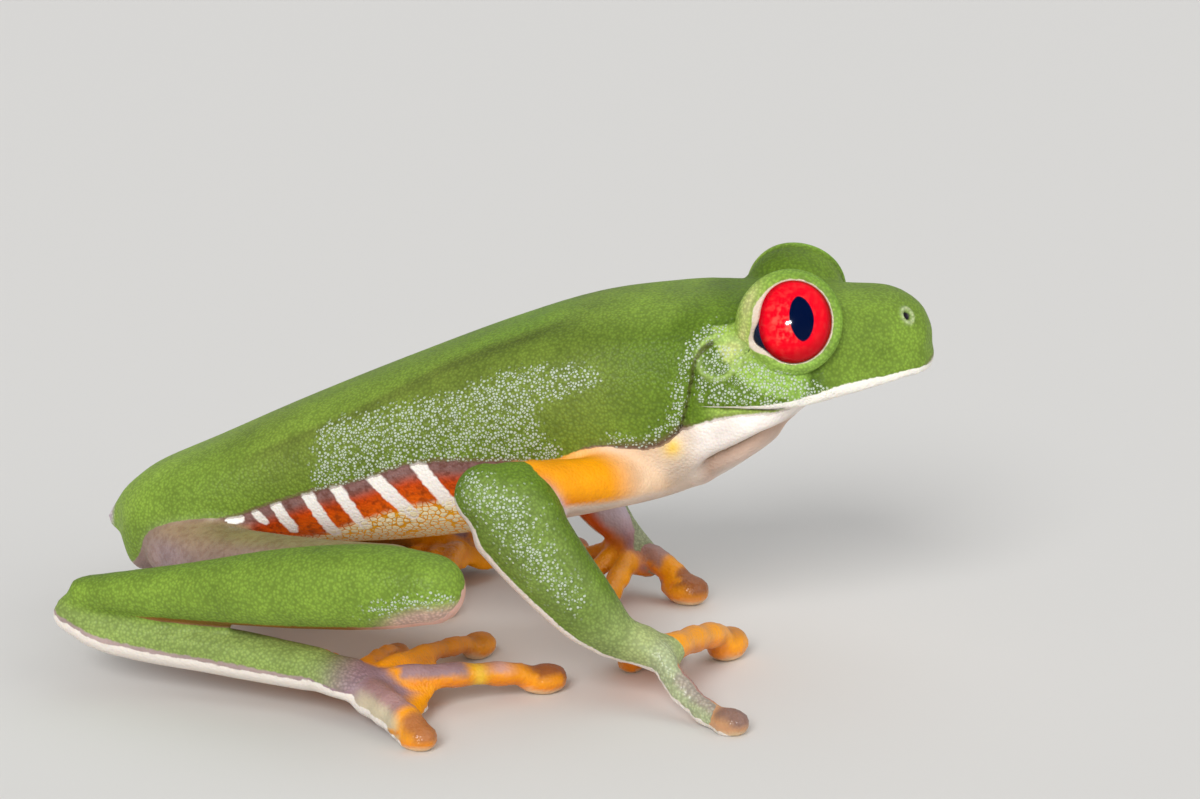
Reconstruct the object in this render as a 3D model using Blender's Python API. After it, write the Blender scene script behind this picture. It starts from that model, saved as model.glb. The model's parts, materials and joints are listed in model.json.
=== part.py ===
"""Red-eyed tree frog, life size, crouched on the floor with its head up and its legs folded.

The trunk, head and lower jaw are one lofted body parted by thin cuts. Each leg is a chain of lofted
segments, and each is trimmed by the one that it lies against. +X is forward, +Y is the frog's left and
+Z is up, with the floor at z = 0. Sizes are in millimetres until mesh_object makes them metres.
"""

import math

import bmesh
import bpy
import numpy as np
from mathutils import Vector

MM = 0.001

# Driving dimensions, in millimetres.
SNOUT_X = 27.75  # tip of the snout
VENT_X = -27.5  # rear end of the trunk
NECK_X = 11.6  # plane that parts the head from the trunk
MOUTH_Z = 18.4  # level of the mouth line at the neck
MOUTH_TILT = 5.2  # degrees that the mouth line climbs towards the snout
EYE_RADIUS = 2.95
EYE_CENTRE = (18.85, 5.4, 23.7)  # of the left eye
GAZE = (0.19, 0.95, 0.26)  # direction that the left eye looks in
LID_RADIUS = 3.4  # bulge of the head round each eye
LID_SET_BACK = 0.5  # of the bulge's centre behind the eyeball's
EYE_GAP = 0.15  # clearance of the eyeball in its socket
GAP = 0.3  # clearance between neighbouring solids

# Facets.
BODY_SIDES = 22
BODY_RINGS = 29
LIMB_SIDES = 10
LIMB_RINGS = 7
DIGIT_SIDES = 8
DIGIT_RINGS = 5

SKIN_GREEN = (0.13, 0.30, 0.05)
LIMB_ORANGE = (0.90, 0.32, 0.02)
THROAT_CREAM = (0.85, 0.68, 0.52)
IRIS_RED = (0.75, 0.01, 0.01)

# The body's cross-sections, from the vent to the snout. The widest level splits each section into an
# upper and a lower half ellipse, and a squareness over 2 flattens that half.
# x, top z, widest z, bottom z, half width, upper squareness, lower squareness
BODY_SECTIONS = [
    (VENT_X, 8.7, 8.25, 7.7, 0.7, 2.0, 2.0),
    (-26.6, 10.1, 8.3, 7.0, 1.7, 2.2, 2.0),
    (-25.7, 11.0, 8.2, 4.9, 3.1, 2.3, 2.0),
    (-24.0, 12.2, 8.6, 4.8, 4.2, 2.5, 2.0),
    (-20.0, 13.95, 9.6, 5.8, 5.4, 2.7, 2.0),
    (-14.0, 16.7, 11.2, 7.0, 5.9, 2.7, 2.1),
    (-7.0, 19.65, 13.0, 7.6, 6.8, 2.7, 2.2),
    (0.0, 22.4, 15.2, 8.6, 7.4, 2.7, 2.2),
    (6.0, 24.3, 17.0, 9.8, 7.7, 2.7, 2.2),
    (NECK_X, 25.1, 18.0, 11.3, 7.6, 2.8, 2.1),
    (16.0, 25.2, 18.9, 13.7, 7.7, 2.9, 2.1),
    (19.5, 25.2, 19.3, 17.2, 6.9, 2.9, 2.1),
    (22.5, 25.2, 19.5, 18.2, 5.7, 2.8, 2.1),
    (25.2, 25.15, 19.8, 18.7, 4.2, 2.6, 2.1),
    (27.1, 24.1, 20.3, 19.2, 2.8, 2.4, 2.1),
    (SNOUT_X, 22.5, 20.7, 19.9, 1.5, 2.1, 2.0),
]

# The legs. Each row is a station: x, y, z, width, height. The right side is at negative y.
RIGHT_ARM = {
    "upper_arm": [
        (9.6, -4.6, 13.4, 4.0, 3.6),
        (6.6, -8.6, 13.6, 3.8, 3.5),
        (3.2, -11.6, 13.9, 3.7, 3.6),
        (1.6, -12.8, 14.0, 3.6, 3.8),
    ],
    "forearm": [
        (0.4, -13.4, 13.95, 4.1, 3.9),
        (1.9, -13.3, 12.75, 4.7, 5.9),
        (3.3, -13.2, 10.7, 4.7, 5.4),
        (5.0, -13.0, 8.5, 4.3, 4.8),
        (6.8, -12.7, 6.35, 3.8, 4.1),
        (8.1, -12.4, 5.0, 3.2, 3.1),
    ],
    "hand": [
        (9.0, -12.2, 4.4, 2.9, 2.6),
        (10.2, -12.0, 4.0, 3.5, 2.4),
        (11.2, -11.8, 3.4, 3.6, 2.1),
    ],
}
LEFT_ARM = {
    "upper_arm": [
        (9.6, 4.6, 13.4, 4.0, 3.6),
        (6.0, 9.2, 13.8, 3.8, 3.5),
        (2.9, 12.4, 14.5, 3.7, 3.6),
        (1.8, 13.4, 14.7, 3.6, 3.8),
    ],
    "forearm": [
        (0.8, 14.2, 14.8, 4.2, 4.4),
        (1.6, 14.2, 12.0, 4.6, 4.8),
        (3.3, 14.0, 8.6, 4.0, 4.2),
        (5.0, 13.8, 6.1, 3.2, 3.2),
        (6.0, 13.6, 4.9, 2.7, 2.5),
    ],
    "hand": [
        (6.4, 13.5, 4.4, 2.7, 2.3),
        (7.3, 13.1, 3.3, 3.4, 2.0),
        (7.9, 12.6, 2.5, 3.2, 1.6),
    ],
}
RIGHT_LEG = {
    "thigh": [
        (-22.0, -3.4, 7.2, 4.6, 4.6),
        (-17.6, -7.4, 7.3, 5.2, 4.7),
        (-11.2, -12.2, 8.2, 5.0, 4.4),
        (-5.0, -16.6, 9.3, 4.0, 4.2),
    ],
    "shank": [
        (-2.2, -19.4, 9.5, 4.3, 4.4),
        (-5.8, -18.3, 9.2, 4.9, 5.3),
        (-11.8, -16.5, 8.4, 4.7, 5.0),
        (-18.6, -14.3, 7.3, 3.7, 3.7),
        (-25.8, -12.3, 6.4, 2.6, 2.3),
    ],
    "tarsus": [
        (-26.8, -12.1, 5.1, 2.3, 2.5),
        (-23.8, -12.7, 4.1, 2.7, 2.9),
        (-16.0, -14.4, 3.5, 3.0, 2.9),
        (-10.0, -16.1, 3.1, 3.0, 2.6),
    ],
    "foot": [
        (-9.2, -16.5, 3.0, 3.3, 2.3),
        (-7.6, -16.7, 2.7, 4.6, 2.1),
        (-6.0, -16.6, 2.2, 5.0, 1.8),
        (-4.4, -16.4, 1.5, 5.2, 1.1),
    ],
}

# The digits, from the first to the last: x, y, z of the base, x, y of the sticky disc, the widths of the
# digit and of its disc, then the power of its fall to the floor: under 1 it arches, and over 1 it drops
# at once and lies along the floor.
RIGHT_FINGERS = [
    (8.8, -10.9, 3.4, 8.7, -5.0, 1.3, 1.9, 0.6),
    (10.2, -10.3, 3.3, 11.0, -3.8, 1.4, 2.1, 0.6),
    (12.0, -10.7, 3.6, 14.8, -1.7, 1.9, 2.8, 0.5),
    (11.2, -13.0, 3.8, 15.9, -16.6, 1.6, 2.1, 2.2),
]
LEFT_FINGERS = [
    (5.2, 13.8, 3.0, 0.9, 15.1, 1.3, 1.9, 0.6),
    (5.4, 12.2, 2.9, 3.7, 8.6, 1.4, 2.1, 0.6),
    (6.8, 11.3, 2.6, 5.8, 5.2, 1.7, 2.6, 0.6),
    (8.7, 12.4, 2.9, 11.1, 10.9, 1.9, 2.8, 0.6),
]
RIGHT_TOES = [
    (-8.9, -13.6, 2.4, -12.2, -6.6, 1.2, 1.8, 0.6),
    (-7.4, -13.2, 2.5, -7.0, -5.2, 1.2, 1.9, 0.6),
    (-5.6, -13.6, 2.7, -1.8, -3.2, 1.4, 2.3, 0.6),
    (-4.5, -15.7, 2.6, 3.5, -10.0, 1.7, 2.5, 0.6),
    (-5.9, -18.5, 2.1, -2.8, -21.4, 2.3, 2.2, 0.6),
]
LEFT_TOES = [
    (-8.9, 13.6, 2.4, -12.2, 6.6, 1.2, 1.8, 0.6),
    (-7.4, 13.2, 2.5, -8.4, 5.2, 1.2, 1.9, 0.6),
    (-5.9, 13.6, 2.6, -5.7, 6.0, 1.3, 2.3, 0.6),
    (-4.6, 17.0, 2.5, 1.6, 21.2, 1.7, 2.4, 0.6),
    (-6.6, 19.0, 2.1, -7.2, 21.5, 2.0, 2.2, 0.6),
]
DIGIT_FLATNESS = 0.93  # height over width along a digit
DISC_FLATNESS = 0.8  # height over width of a disc
DISC_SINK = 0.12  # of the disc's underside, which the floor then cuts flat


def smooth_rows(rows, count):
    """Points at count even steps along a Catmull-Rom curve through the rows."""
    rows = np.array(rows, float)
    padded = np.vstack([2 * rows[0] - rows[1], rows, 2 * rows[-1] - rows[-2]])
    at = np.linspace(0, len(rows) - 1, count)
    span = np.minimum(at.astype(int), len(rows) - 2)
    t = (at - span)[:, None]
    before, start, end, after = (padded[span + k] for k in range(4))
    curve = 2 * start + (end - before) * t
    curve += (2 * before - 5 * start + 4 * end - after) * t**2
    curve += (3 * start - before - 3 * end + after) * t**3
    return curve / 2


def mesh_object(name, points, faces, material, group):
    """An object of that mesh, its points given in millimetres, with its faces turned outwards."""
    mesh = bpy.data.meshes.new(name)
    mesh.from_pydata([tuple(p * MM) for p in points], [], faces)
    shell = bmesh.new()
    shell.from_mesh(mesh)
    bmesh.ops.recalc_face_normals(shell, faces=shell.faces)
    shell.to_mesh(mesh)
    shell.free()
    mesh.materials.append(material)
    mesh.shade_smooth()
    made = bpy.data.objects.new(name, mesh)
    group.objects.link(made)
    return made


def skin_rings(rings, start_pole, end_pole):
    """Points and faces of a closed shell over equal rings, with a pole at each end."""
    count, sides = len(rings), len(rings[0])
    points = np.vstack([*rings, start_pole, end_pole])
    faces = []
    for ring in range(count - 1):
        for side in range(sides):
            following = (side + 1) % sides
            low, high = ring * sides, (ring + 1) * sides
            faces.append((low + side, low + following, high + following, high + side))
    last = (count - 1) * sides
    for side in range(sides):
        following = (side + 1) % sides
        faces.append((following, side, count * sides))
        faces.append((last + side, last + following, count * sides + 1))
    return points, faces


def body_rings(grow=0.0):
    """The body's rings: each section is two half superellipses that meet at its widest level."""
    turns = np.arange(BODY_SIDES) * 2 * math.pi / BODY_SIDES
    across, upward = np.cos(turns), np.sin(turns)
    rings = []
    for x, top, wide, bottom, half, upper, lower in smooth_rows(BODY_SECTIONS, BODY_RINGS):
        power = 2 / np.where(upward >= 0, upper, lower)
        height = np.where(upward >= 0, top - wide, wide - bottom) + grow
        y = (half + grow) * np.sign(across) * abs(across) ** power
        z = wide + height * np.sign(upward) * abs(upward) ** power
        rings.append(np.column_stack([np.full(BODY_SIDES, x), y, z]))
    return rings


def body_object(name, material, group, grow=0.0):
    """The whole body from the vent to the snout, before it is parted."""
    rings = body_rings(grow)
    end = 0.25 + grow
    rear, front = rings[0].mean(axis=0), rings[-1].mean(axis=0)
    shell = skin_rings(rings, rear - (end, 0, 0), front + (end, 0, 0))
    return mesh_object(name, *shell, material, group)


def limb_rings(rows, count, sides, round_start, round_end, grow=0.0):
    """Elliptical rings along a limb's curve, with half-round ends where they are asked for."""
    stations = smooth_rows(rows, count)
    centres, sizes = stations[:, :3], stations[:, 3:] / 2 + grow
    along = np.gradient(centres, axis=0)
    along /= np.linalg.norm(along, axis=1)[:, None]
    side = np.cross(along, (0, 0, 1))
    side /= np.linalg.norm(side, axis=1)[:, None]
    up = np.cross(side, along)
    turns = np.arange(sides) * 2 * math.pi / sides
    cos, sin = np.cos(turns)[:, None], np.sin(turns)[:, None]

    def ring(at, shrink=1.0, shift=0.0):
        wide, high = sizes[at] * shrink
        centre = centres[at] + along[at] * shift * sizes[at].mean()
        return centre + cos * wide * side[at] + sin * high * up[at]

    cap = [(math.cos(a), math.sin(a)) for a in np.radians((68, 38))]
    rings = [ring(at) for at in range(count)]
    start_pole, end_pole = centres[0], centres[-1]
    if round_start:
        rings = [ring(0, shrink, -shift) for shrink, shift in cap] + rings
        start_pole = centres[0] - along[0] * sizes[0].mean()
    if round_end:
        rings += [ring(-1, shrink, shift) for shrink, shift in reversed(cap)]
        end_pole = centres[-1] + along[-1] * sizes[-1].mean()
    return rings, start_pole, end_pole


def limb_object(name, rows, material, group, ends=(True, True), grow=0.0):
    """One segment of a leg."""
    shell = skin_rings(*limb_rings(rows, LIMB_RINGS, LIMB_SIDES, *ends, grow))
    return mesh_object(name, *shell, material, group)


def digit_rows(base_x, base_y, base_z, tip_x, tip_y, width, disc, fall):
    """Stations along a digit, which comes down from its base to the disc on the floor."""
    tip_z = disc * DISC_FLATNESS / 2 - DISC_SINK
    rows = []
    for t, thickness in ((0, 1.0), (0.4, 0.93), (0.82, 0.97)):
        x = base_x + (tip_x - base_x) * t
        y = base_y + (tip_y - base_y) * t
        z = tip_z + (base_z - tip_z) * (1 - t) ** fall
        rows.append((x, y, z, width * thickness, width * thickness * DIGIT_FLATNESS))
    return [*rows, (tip_x, tip_y, tip_z, disc, disc * DISC_FLATNESS)]


def digit_object(name, sizes, material, group):
    """A finger or toe, blunt where it meets the hand or foot and round at its sticky disc."""
    rings = limb_rings(digit_rows(*sizes), DIGIT_RINGS, DIGIT_SIDES, False, True)
    return mesh_object(name, *skin_rings(*rings), material, group)


def mirrored(rows):
    """The same rows on the frog's other side."""
    return [(row[0], -row[1], *row[2:]) for row in rows]


def ball(name, centre, radius, material, group):
    """A sphere placed by its location, in millimetres."""
    mesh = bpy.data.meshes.new(name)
    shell = bmesh.new()
    bmesh.ops.create_uvsphere(shell, u_segments=20, v_segments=11, radius=radius * MM)
    shell.to_mesh(mesh)
    shell.free()
    mesh.materials.append(material)
    mesh.shade_smooth()
    made = bpy.data.objects.new(name, mesh)
    made.location = Vector(centre) * MM
    group.objects.link(made)
    return made


def slab(name, centre, half_size, tilt, group):
    """A box cutter about its centre, tilted nose up by that many degrees."""
    mesh = bpy.data.meshes.new(name)
    shell = bmesh.new()
    bmesh.ops.create_cube(shell, size=2.0)
    bmesh.ops.scale(shell, vec=Vector(half_size) * MM, verts=shell.verts)
    shell.to_mesh(mesh)
    shell.free()
    made = bpy.data.objects.new(name, mesh)
    made.location = Vector(centre) * MM
    made.rotation_euler = (0, math.radians(-tilt), 0)
    group.objects.link(made)
    return made


def combine(target, other, operation="DIFFERENCE"):
    """Adds a Boolean of the other object to the target."""
    step = target.modifiers.new(f"{operation.lower()}_{other.name}", "BOOLEAN")
    step.operation = operation
    step.object = other
    step.solver = "EXACT"


def principled(name, colour, roughness):
    """A plain wet-skin or eye material."""
    material = bpy.data.materials.new(name)
    material.use_nodes = True
    shader = material.node_tree.nodes["Principled BSDF"]
    shader.inputs["Base Color"].default_value = (*colour, 1)
    shader.inputs["Roughness"].default_value = roughness
    shader.inputs["Metallic"].default_value = 0
    material.diffuse_color = (*colour, 1)
    return material


def clear_scene():
    for old in list(bpy.data.objects):
        bpy.data.objects.remove(old)


def collection(name):
    made = bpy.data.collections.new(name)
    bpy.context.scene.collection.children.link(made)
    return made


def build_body(parts, cutters):
    """Trunk, head and lower jaw from one loft, and the eyeballs in their sockets."""
    green = principled("green_back_skin", SKIN_GREEN, 0.4)
    trunk = body_object("trunk", green, parts)
    head = body_object("head", principled("green_head_skin", SKIN_GREEN, 0.4), parts)
    jaw = body_object("lower_jaw", principled("cream_throat_skin", THROAT_CREAM, 0.45), parts)

    front = slab("front_cutter", (NECK_X - GAP / 2 + 40, 0, 15), (40, 40, 40), 0, cutters)
    rear = slab("rear_cutter", (NECK_X + GAP / 2 - 60, 0, 15), (60, 40, 40), 0, cutters)
    tilt = math.radians(MOUTH_TILT)
    normal = Vector((-math.sin(tilt), 0, math.cos(tilt)))
    mouth = Vector((NECK_X, 0, MOUTH_Z))
    half = Vector((60, 40, 30))
    below = slab("below_mouth_cutter", mouth + normal * (GAP / 2 - half.z), half, MOUTH_TILT, cutters)
    above = slab("above_mouth_cutter", mouth + normal * (half.z - GAP / 2), half, MOUTH_TILT, cutters)
    combine(trunk, front)
    combine(head, rear)
    combine(head, below)
    combine(jaw, rear)
    combine(jaw, above)

    for side, suffix in ((1, "l"), (-1, "r")):
        centre = Vector((EYE_CENTRE[0], side * EYE_CENTRE[1], EYE_CENTRE[2]))
        gaze = Vector((GAZE[0], side * GAZE[1], GAZE[2])).normalized()
        red = principled(f"red_eye_{suffix}", IRIS_RED, 0.1)
        ball(f"eye_{suffix}", centre, EYE_RADIUS, red, parts)
        lid = ball(f"lid_{suffix}", centre - gaze * LID_SET_BACK, LID_RADIUS, green, cutters)
        socket = ball(f"socket_{suffix}", centre, EYE_RADIUS + EYE_GAP, green, cutters)
        combine(head, lid, "UNION")
        combine(head, socket)


def build_limb(suffix, rows, digits, digit_name, parts, cutters, body, floor):
    """A leg: three or four segments that trim one another, and the digits that grow from the last."""
    names = list(rows)
    shells = {}
    for name, stations in rows.items():
        skin = principled(f"{name}_skin_{suffix}", SKIN_GREEN, 0.4)
        made = limb_object(f"{name}_{suffix}", stations, skin, parts)
        grown = limb_object(f"{name}_cutter_{suffix}", stations, skin, cutters, grow=GAP)
        shells[name] = made, grown
    first, second = names[:2]
    combine(shells[first][0], body)
    combine(shells[first][0], shells[second][1])
    for before, name in zip(names[1:], names[2:]):
        combine(shells[name][0], shells[before][1])
    for number, sizes in enumerate(digits, start=1):
        skin = principled(f"{digit_name}_{number}_skin_{suffix}", LIMB_ORANGE, 0.4)
        digit = digit_object(f"{digit_name}_{number}_{suffix}", sizes, skin, parts)
        combine(digit, shells[names[-1]][1])
        combine(digit, floor)


def hide(cutters):
    for cutter in cutters.objects:
        cutter.hide_render = True
        cutter.display_type = "WIRE"


def main():
    clear_scene()
    parts, cutters = collection("red_eyed_tree_frog"), collection("cutters")
    build_body(parts, cutters)
    body = body_object("body_cutter", principled("cutter", SKIN_GREEN, 0.5), cutters, grow=GAP)
    floor = slab("floor_cutter", (0, 0, -10), (60, 60, 10), 0, cutters)
    shared = parts, cutters, body, floor
    left_leg = {name: mirrored(stations) for name, stations in RIGHT_LEG.items()}
    build_limb("r", RIGHT_ARM, RIGHT_FINGERS, "finger", *shared)
    build_limb("l", LEFT_ARM, LEFT_FINGERS, "finger", *shared)
    build_limb("r", RIGHT_LEG, RIGHT_TOES, "toe", *shared)
    build_limb("l", left_leg, LEFT_TOES, "toe", *shared)
    hide(cutters)


main()
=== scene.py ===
"""A red-eyed tree frog at rest: one skin over its whole body, two layered eyes, and a pale studio floor.

The skin grows section by section as closed surfaces in millimetres, which are fused, folded and marked
before they are turned to metres. +X is forward, +Y is the frog's left, and the floor is at z = 0.
"""

import json
import math

import bmesh
import bpy
import mathutils
import numpy as np
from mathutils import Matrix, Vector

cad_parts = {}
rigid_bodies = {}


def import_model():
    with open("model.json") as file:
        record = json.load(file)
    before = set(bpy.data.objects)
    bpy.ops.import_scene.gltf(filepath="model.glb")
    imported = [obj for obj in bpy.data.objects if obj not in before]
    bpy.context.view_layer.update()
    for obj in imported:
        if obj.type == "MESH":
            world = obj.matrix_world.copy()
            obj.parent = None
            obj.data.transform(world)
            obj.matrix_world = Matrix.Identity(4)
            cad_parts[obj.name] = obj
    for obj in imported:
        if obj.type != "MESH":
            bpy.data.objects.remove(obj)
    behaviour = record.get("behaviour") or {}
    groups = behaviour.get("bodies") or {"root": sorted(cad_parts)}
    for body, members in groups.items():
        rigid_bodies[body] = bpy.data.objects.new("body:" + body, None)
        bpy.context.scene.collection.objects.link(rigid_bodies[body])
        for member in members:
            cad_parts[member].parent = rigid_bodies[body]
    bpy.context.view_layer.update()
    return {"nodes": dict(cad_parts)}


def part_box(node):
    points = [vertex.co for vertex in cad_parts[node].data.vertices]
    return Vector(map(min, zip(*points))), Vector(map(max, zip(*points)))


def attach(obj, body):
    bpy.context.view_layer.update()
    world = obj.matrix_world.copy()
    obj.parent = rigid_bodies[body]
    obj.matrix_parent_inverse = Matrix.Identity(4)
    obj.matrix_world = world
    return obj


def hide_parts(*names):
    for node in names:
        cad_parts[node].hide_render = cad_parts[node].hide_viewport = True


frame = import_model()


# Trunk and head. One muscular tube from the vent to the snout, wide and square over the back and round
# under the belly. The skin lies on it almost without slack.
MM = 0.001


def corners(node):
    """A CAD node's lowest and highest corners, in millimetres."""
    return [np.array(corner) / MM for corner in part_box(node)]


VENT, SNOUT = corners("trunk")[0][0], corners("head")[1][0]
# distance along the body from vent to snout, top z, widest z, bottom z, half width, squareness above, below
BODY = np.array([
    (0.004, 8.7, 8.25, 7.7, 0.7, 2.0, 2.0),
    (0.020, 10.1, 8.3, 7.0, 1.7, 2.2, 2.0),
    (0.036, 11.0, 8.2, 4.9, 3.1, 2.3, 2.0),
    (0.067, 12.2, 8.6, 4.8, 4.2, 2.5, 2.0),
    (0.139, 13.95, 9.6, 5.8, 5.4, 2.7, 2.0),
    (0.247, 16.7, 11.2, 7.0, 5.9, 2.7, 2.1),
    (0.373, 19.65, 13.0, 7.6, 6.8, 2.7, 2.2),
    (0.499, 22.4, 15.2, 8.6, 7.4, 2.7, 2.2),
    (0.606, 24.3, 17.0, 9.8, 7.7, 2.7, 2.2),
    (0.706, 25.1, 18.0, 11.3, 7.6, 2.8, 2.1),
    (0.785, 25.2, 18.9, 13.7, 7.7, 2.9, 2.1),
    (0.848, 25.2, 19.3, 17.2, 6.9, 2.9, 2.1),
    (0.901, 25.2, 19.5, 18.55, 5.7, 2.8, 2.1),
    (0.950, 25.15, 19.8, 19.2, 4.2, 2.6, 2.1),
    (0.984, 24.1, 20.3, 19.65, 2.8, 2.4, 2.1),
    (0.996, 22.5, 20.7, 20.05, 1.5, 2.1, 2.0),
])
BODY[:, 0] = VENT + BODY[:, 0] * (SNOUT - VENT)


def smooth_rows(rows, count):
    """Rows at count even steps along the Catmull-Rom cubic that passes through the given rows."""
    rows = np.array(rows, float)
    padded = np.vstack([2 * rows[0] - rows[1], rows, 2 * rows[-1] - rows[-2]])
    at = np.linspace(0, len(rows) - 1, count)
    span = np.minimum(at.astype(int), len(rows) - 2)
    t = (at - span)[:, None]
    before, start, end, after = (padded[span + k] for k in range(4))
    return 0.5 * (2 * start + (end - before) * t + (2 * before - 5 * start + 4 * end - after) * t**2
                  + (3 * start - before - 3 * end + after) * t**3)


def closed_rings(rings, start_pole, end_pole):
    """Points and faces of a closed shell: quads join each ring to the next, triangles close both poles."""
    count, sides = rings.shape[:2]
    here = np.arange(count - 1)[:, None] * sides + np.arange(sides)
    there = np.arange(count - 1)[:, None] * sides + np.roll(np.arange(sides), -1)
    quads = np.stack([here, there, there + sides, here + sides], -1).reshape(-1, 4)
    side, following = np.arange(sides), np.roll(np.arange(sides), -1)
    start = np.stack([following, side, np.full(sides, count * sides)], -1)
    last = (count - 1) * sides
    end = np.stack([last + side, last + following, np.full(sides, count * sides + 1)], -1)
    points = np.vstack([rings.reshape(-1, 3), start_pole, end_pole])
    return points, quads.tolist() + start.tolist() + end.tolist()


def body_shell(count=150, sides=80):
    """Each section is two half superellipses, |y/a|^p + |z/b|^p = 1, that meet at its widest level."""
    turns = np.arange(sides) * 2 * math.pi / sides
    across, upward = np.cos(turns), np.sin(turns)
    x, top, wide, bottom, half, upper, lower = smooth_rows(BODY, count).T[:, :, None]
    power = 2 / np.where(upward >= 0, upper, lower)
    height = np.where(upward >= 0, top - wide, wide - bottom)
    y = half * np.sign(across) * np.abs(across) ** power
    z = wide + height * np.sign(upward) * np.abs(upward) ** power
    rings = np.stack([np.broadcast_to(x, y.shape), y, z], -1)
    return closed_rings(rings, rings[0].mean(0) - (0.25, 0, 0), rings[-1].mean(0) + (0.25, 0, 0))


flesh = [body_shell()]


# Eye domes. Each eyeball lifts the skull's skin into a dome, and its two lids end in one raised ring
# round the opening.
def eye_of(node):
    """An eyeball's centre and radius."""
    low, high = corners(node)
    return (low + high) / 2, (high - low).mean() / 2


EYES = {suffix: eye_of(f"eye_{suffix}") for suffix in "lr"}
GAZE = {suffix: np.array((0.19, side * 0.95, 0.26)) / math.hypot(0.19, 0.95, 0.26)
        for suffix, side in (("l", 1), ("r", -1))}
DOME_RADIUS, DOME_SET_BACK = 3.4, 0.5


def ball(centre, radii, count=24, sides=32):
    """A ball stretched to three radii: rings of latitude between two poles."""
    rise = (np.arange(count) + 0.5) / count * math.pi
    turns = np.arange(sides) * 2 * math.pi / sides
    rings = np.stack([np.sin(rise)[:, None] * np.cos(turns), np.sin(rise)[:, None] * np.sin(turns),
                      np.broadcast_to(-np.cos(rise)[:, None], (count, sides))], -1)
    centre, radii = np.array(centre, float), np.broadcast_to(radii, 3)
    return closed_rings(centre + rings * radii, centre - (0, 0, radii[2]), centre + (0, 0, radii[2]))


for suffix, (centre, radius) in EYES.items():
    flesh.append(ball(centre - GAZE[suffix] * DOME_SET_BACK, DOME_RADIUS))


# Arms and legs. Slim muscled segments, folded under the body: each is an ellipse carried along the bones,
# thickest over the muscle.
# x, y, z, width and height of the stations down each limb; the frog's right side is at negative y
LIMBS = {
    "upper_arm_r": [(9.6, -4.6, 13.4, 4.0, 3.6), (6.6, -8.6, 13.6, 3.8, 3.5), (3.2, -11.6, 13.9, 3.7, 3.6),
                    (1.6, -12.8, 14.0, 3.6, 3.8)],
    "forearm_r": [(0.4, -13.4, 13.95, 4.1, 3.9), (1.9, -13.3, 12.75, 4.7, 5.9), (3.3, -13.2, 10.7, 4.7, 5.4),
                  (5.0, -13.0, 8.5, 4.3, 4.8), (6.8, -12.7, 6.35, 3.8, 4.1), (8.1, -12.4, 5.0, 3.2, 3.1)],
    "hand_r": [(9.0, -12.2, 4.4, 2.9, 2.6), (10.2, -12.0, 4.0, 3.5, 2.4), (11.2, -11.8, 3.4, 3.6, 2.1)],
    "upper_arm_l": [(9.6, 4.6, 13.4, 4.0, 3.6), (6.0, 9.2, 13.8, 3.8, 3.5), (2.9, 12.4, 14.5, 3.7, 3.6),
                    (1.8, 13.4, 14.7, 3.6, 3.8)],
    "forearm_l": [(0.8, 14.2, 14.8, 4.2, 4.4), (1.6, 14.2, 12.0, 4.6, 4.8), (3.3, 14.0, 8.6, 4.0, 4.2),
                  (5.0, 13.8, 6.1, 3.2, 3.2), (6.0, 13.6, 4.9, 2.7, 2.5)],
    "hand_l": [(6.4, 13.5, 4.4, 2.7, 2.3), (7.3, 13.1, 3.3, 3.4, 2.0), (7.9, 12.6, 2.5, 3.2, 1.6)],
    "thigh_r": [(-22.0, -3.4, 7.2, 4.6, 4.6), (-17.6, -7.4, 7.3, 5.2, 4.7), (-11.2, -12.2, 8.2, 5.0, 4.4),
                (-5.0, -16.6, 9.3, 4.0, 4.2)],
    "shank_r": [(-2.2, -19.4, 9.5, 4.3, 4.4), (-5.8, -18.3, 9.2, 4.9, 5.3), (-11.8, -16.5, 8.4, 4.7, 5.0),
                (-18.6, -14.3, 7.3, 3.7, 3.7), (-25.8, -12.3, 6.4, 2.6, 2.3)],
    "tarsus_r": [(-26.8, -12.1, 5.1, 2.3, 2.5), (-23.8, -12.7, 4.1, 2.7, 2.9), (-16.0, -14.4, 3.5, 3.0, 2.9),
                 (-10.0, -16.1, 3.1, 3.0, 2.6)],
    "foot_r": [(-9.2, -16.5, 3.0, 3.3, 2.3), (-7.6, -16.7, 2.7, 4.6, 2.1), (-6.0, -16.6, 2.2, 5.0, 1.8),
               (-4.4, -16.4, 1.5, 5.2, 1.1)],
}
for name in ("thigh", "shank", "tarsus", "foot"):
    LIMBS[f"{name}_l"] = [(x, -y, z, width, height) for x, y, z, width, height in LIMBS[f"{name}_r"]]


def limb_frame(rows, count):
    """Centres, directions (along, level side, up) and half sizes at even steps of the smooth curve."""
    stations = smooth_rows(rows, count)
    centres, sizes = stations[:, :3], stations[:, 3:] / 2
    along = np.gradient(centres, axis=0)
    along /= np.linalg.norm(along, axis=1)[:, None]
    side = np.cross(along, (0, 0, 1))
    side /= np.linalg.norm(side, axis=1)[:, None]
    return centres, along, side, np.cross(side, along), sizes


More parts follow.
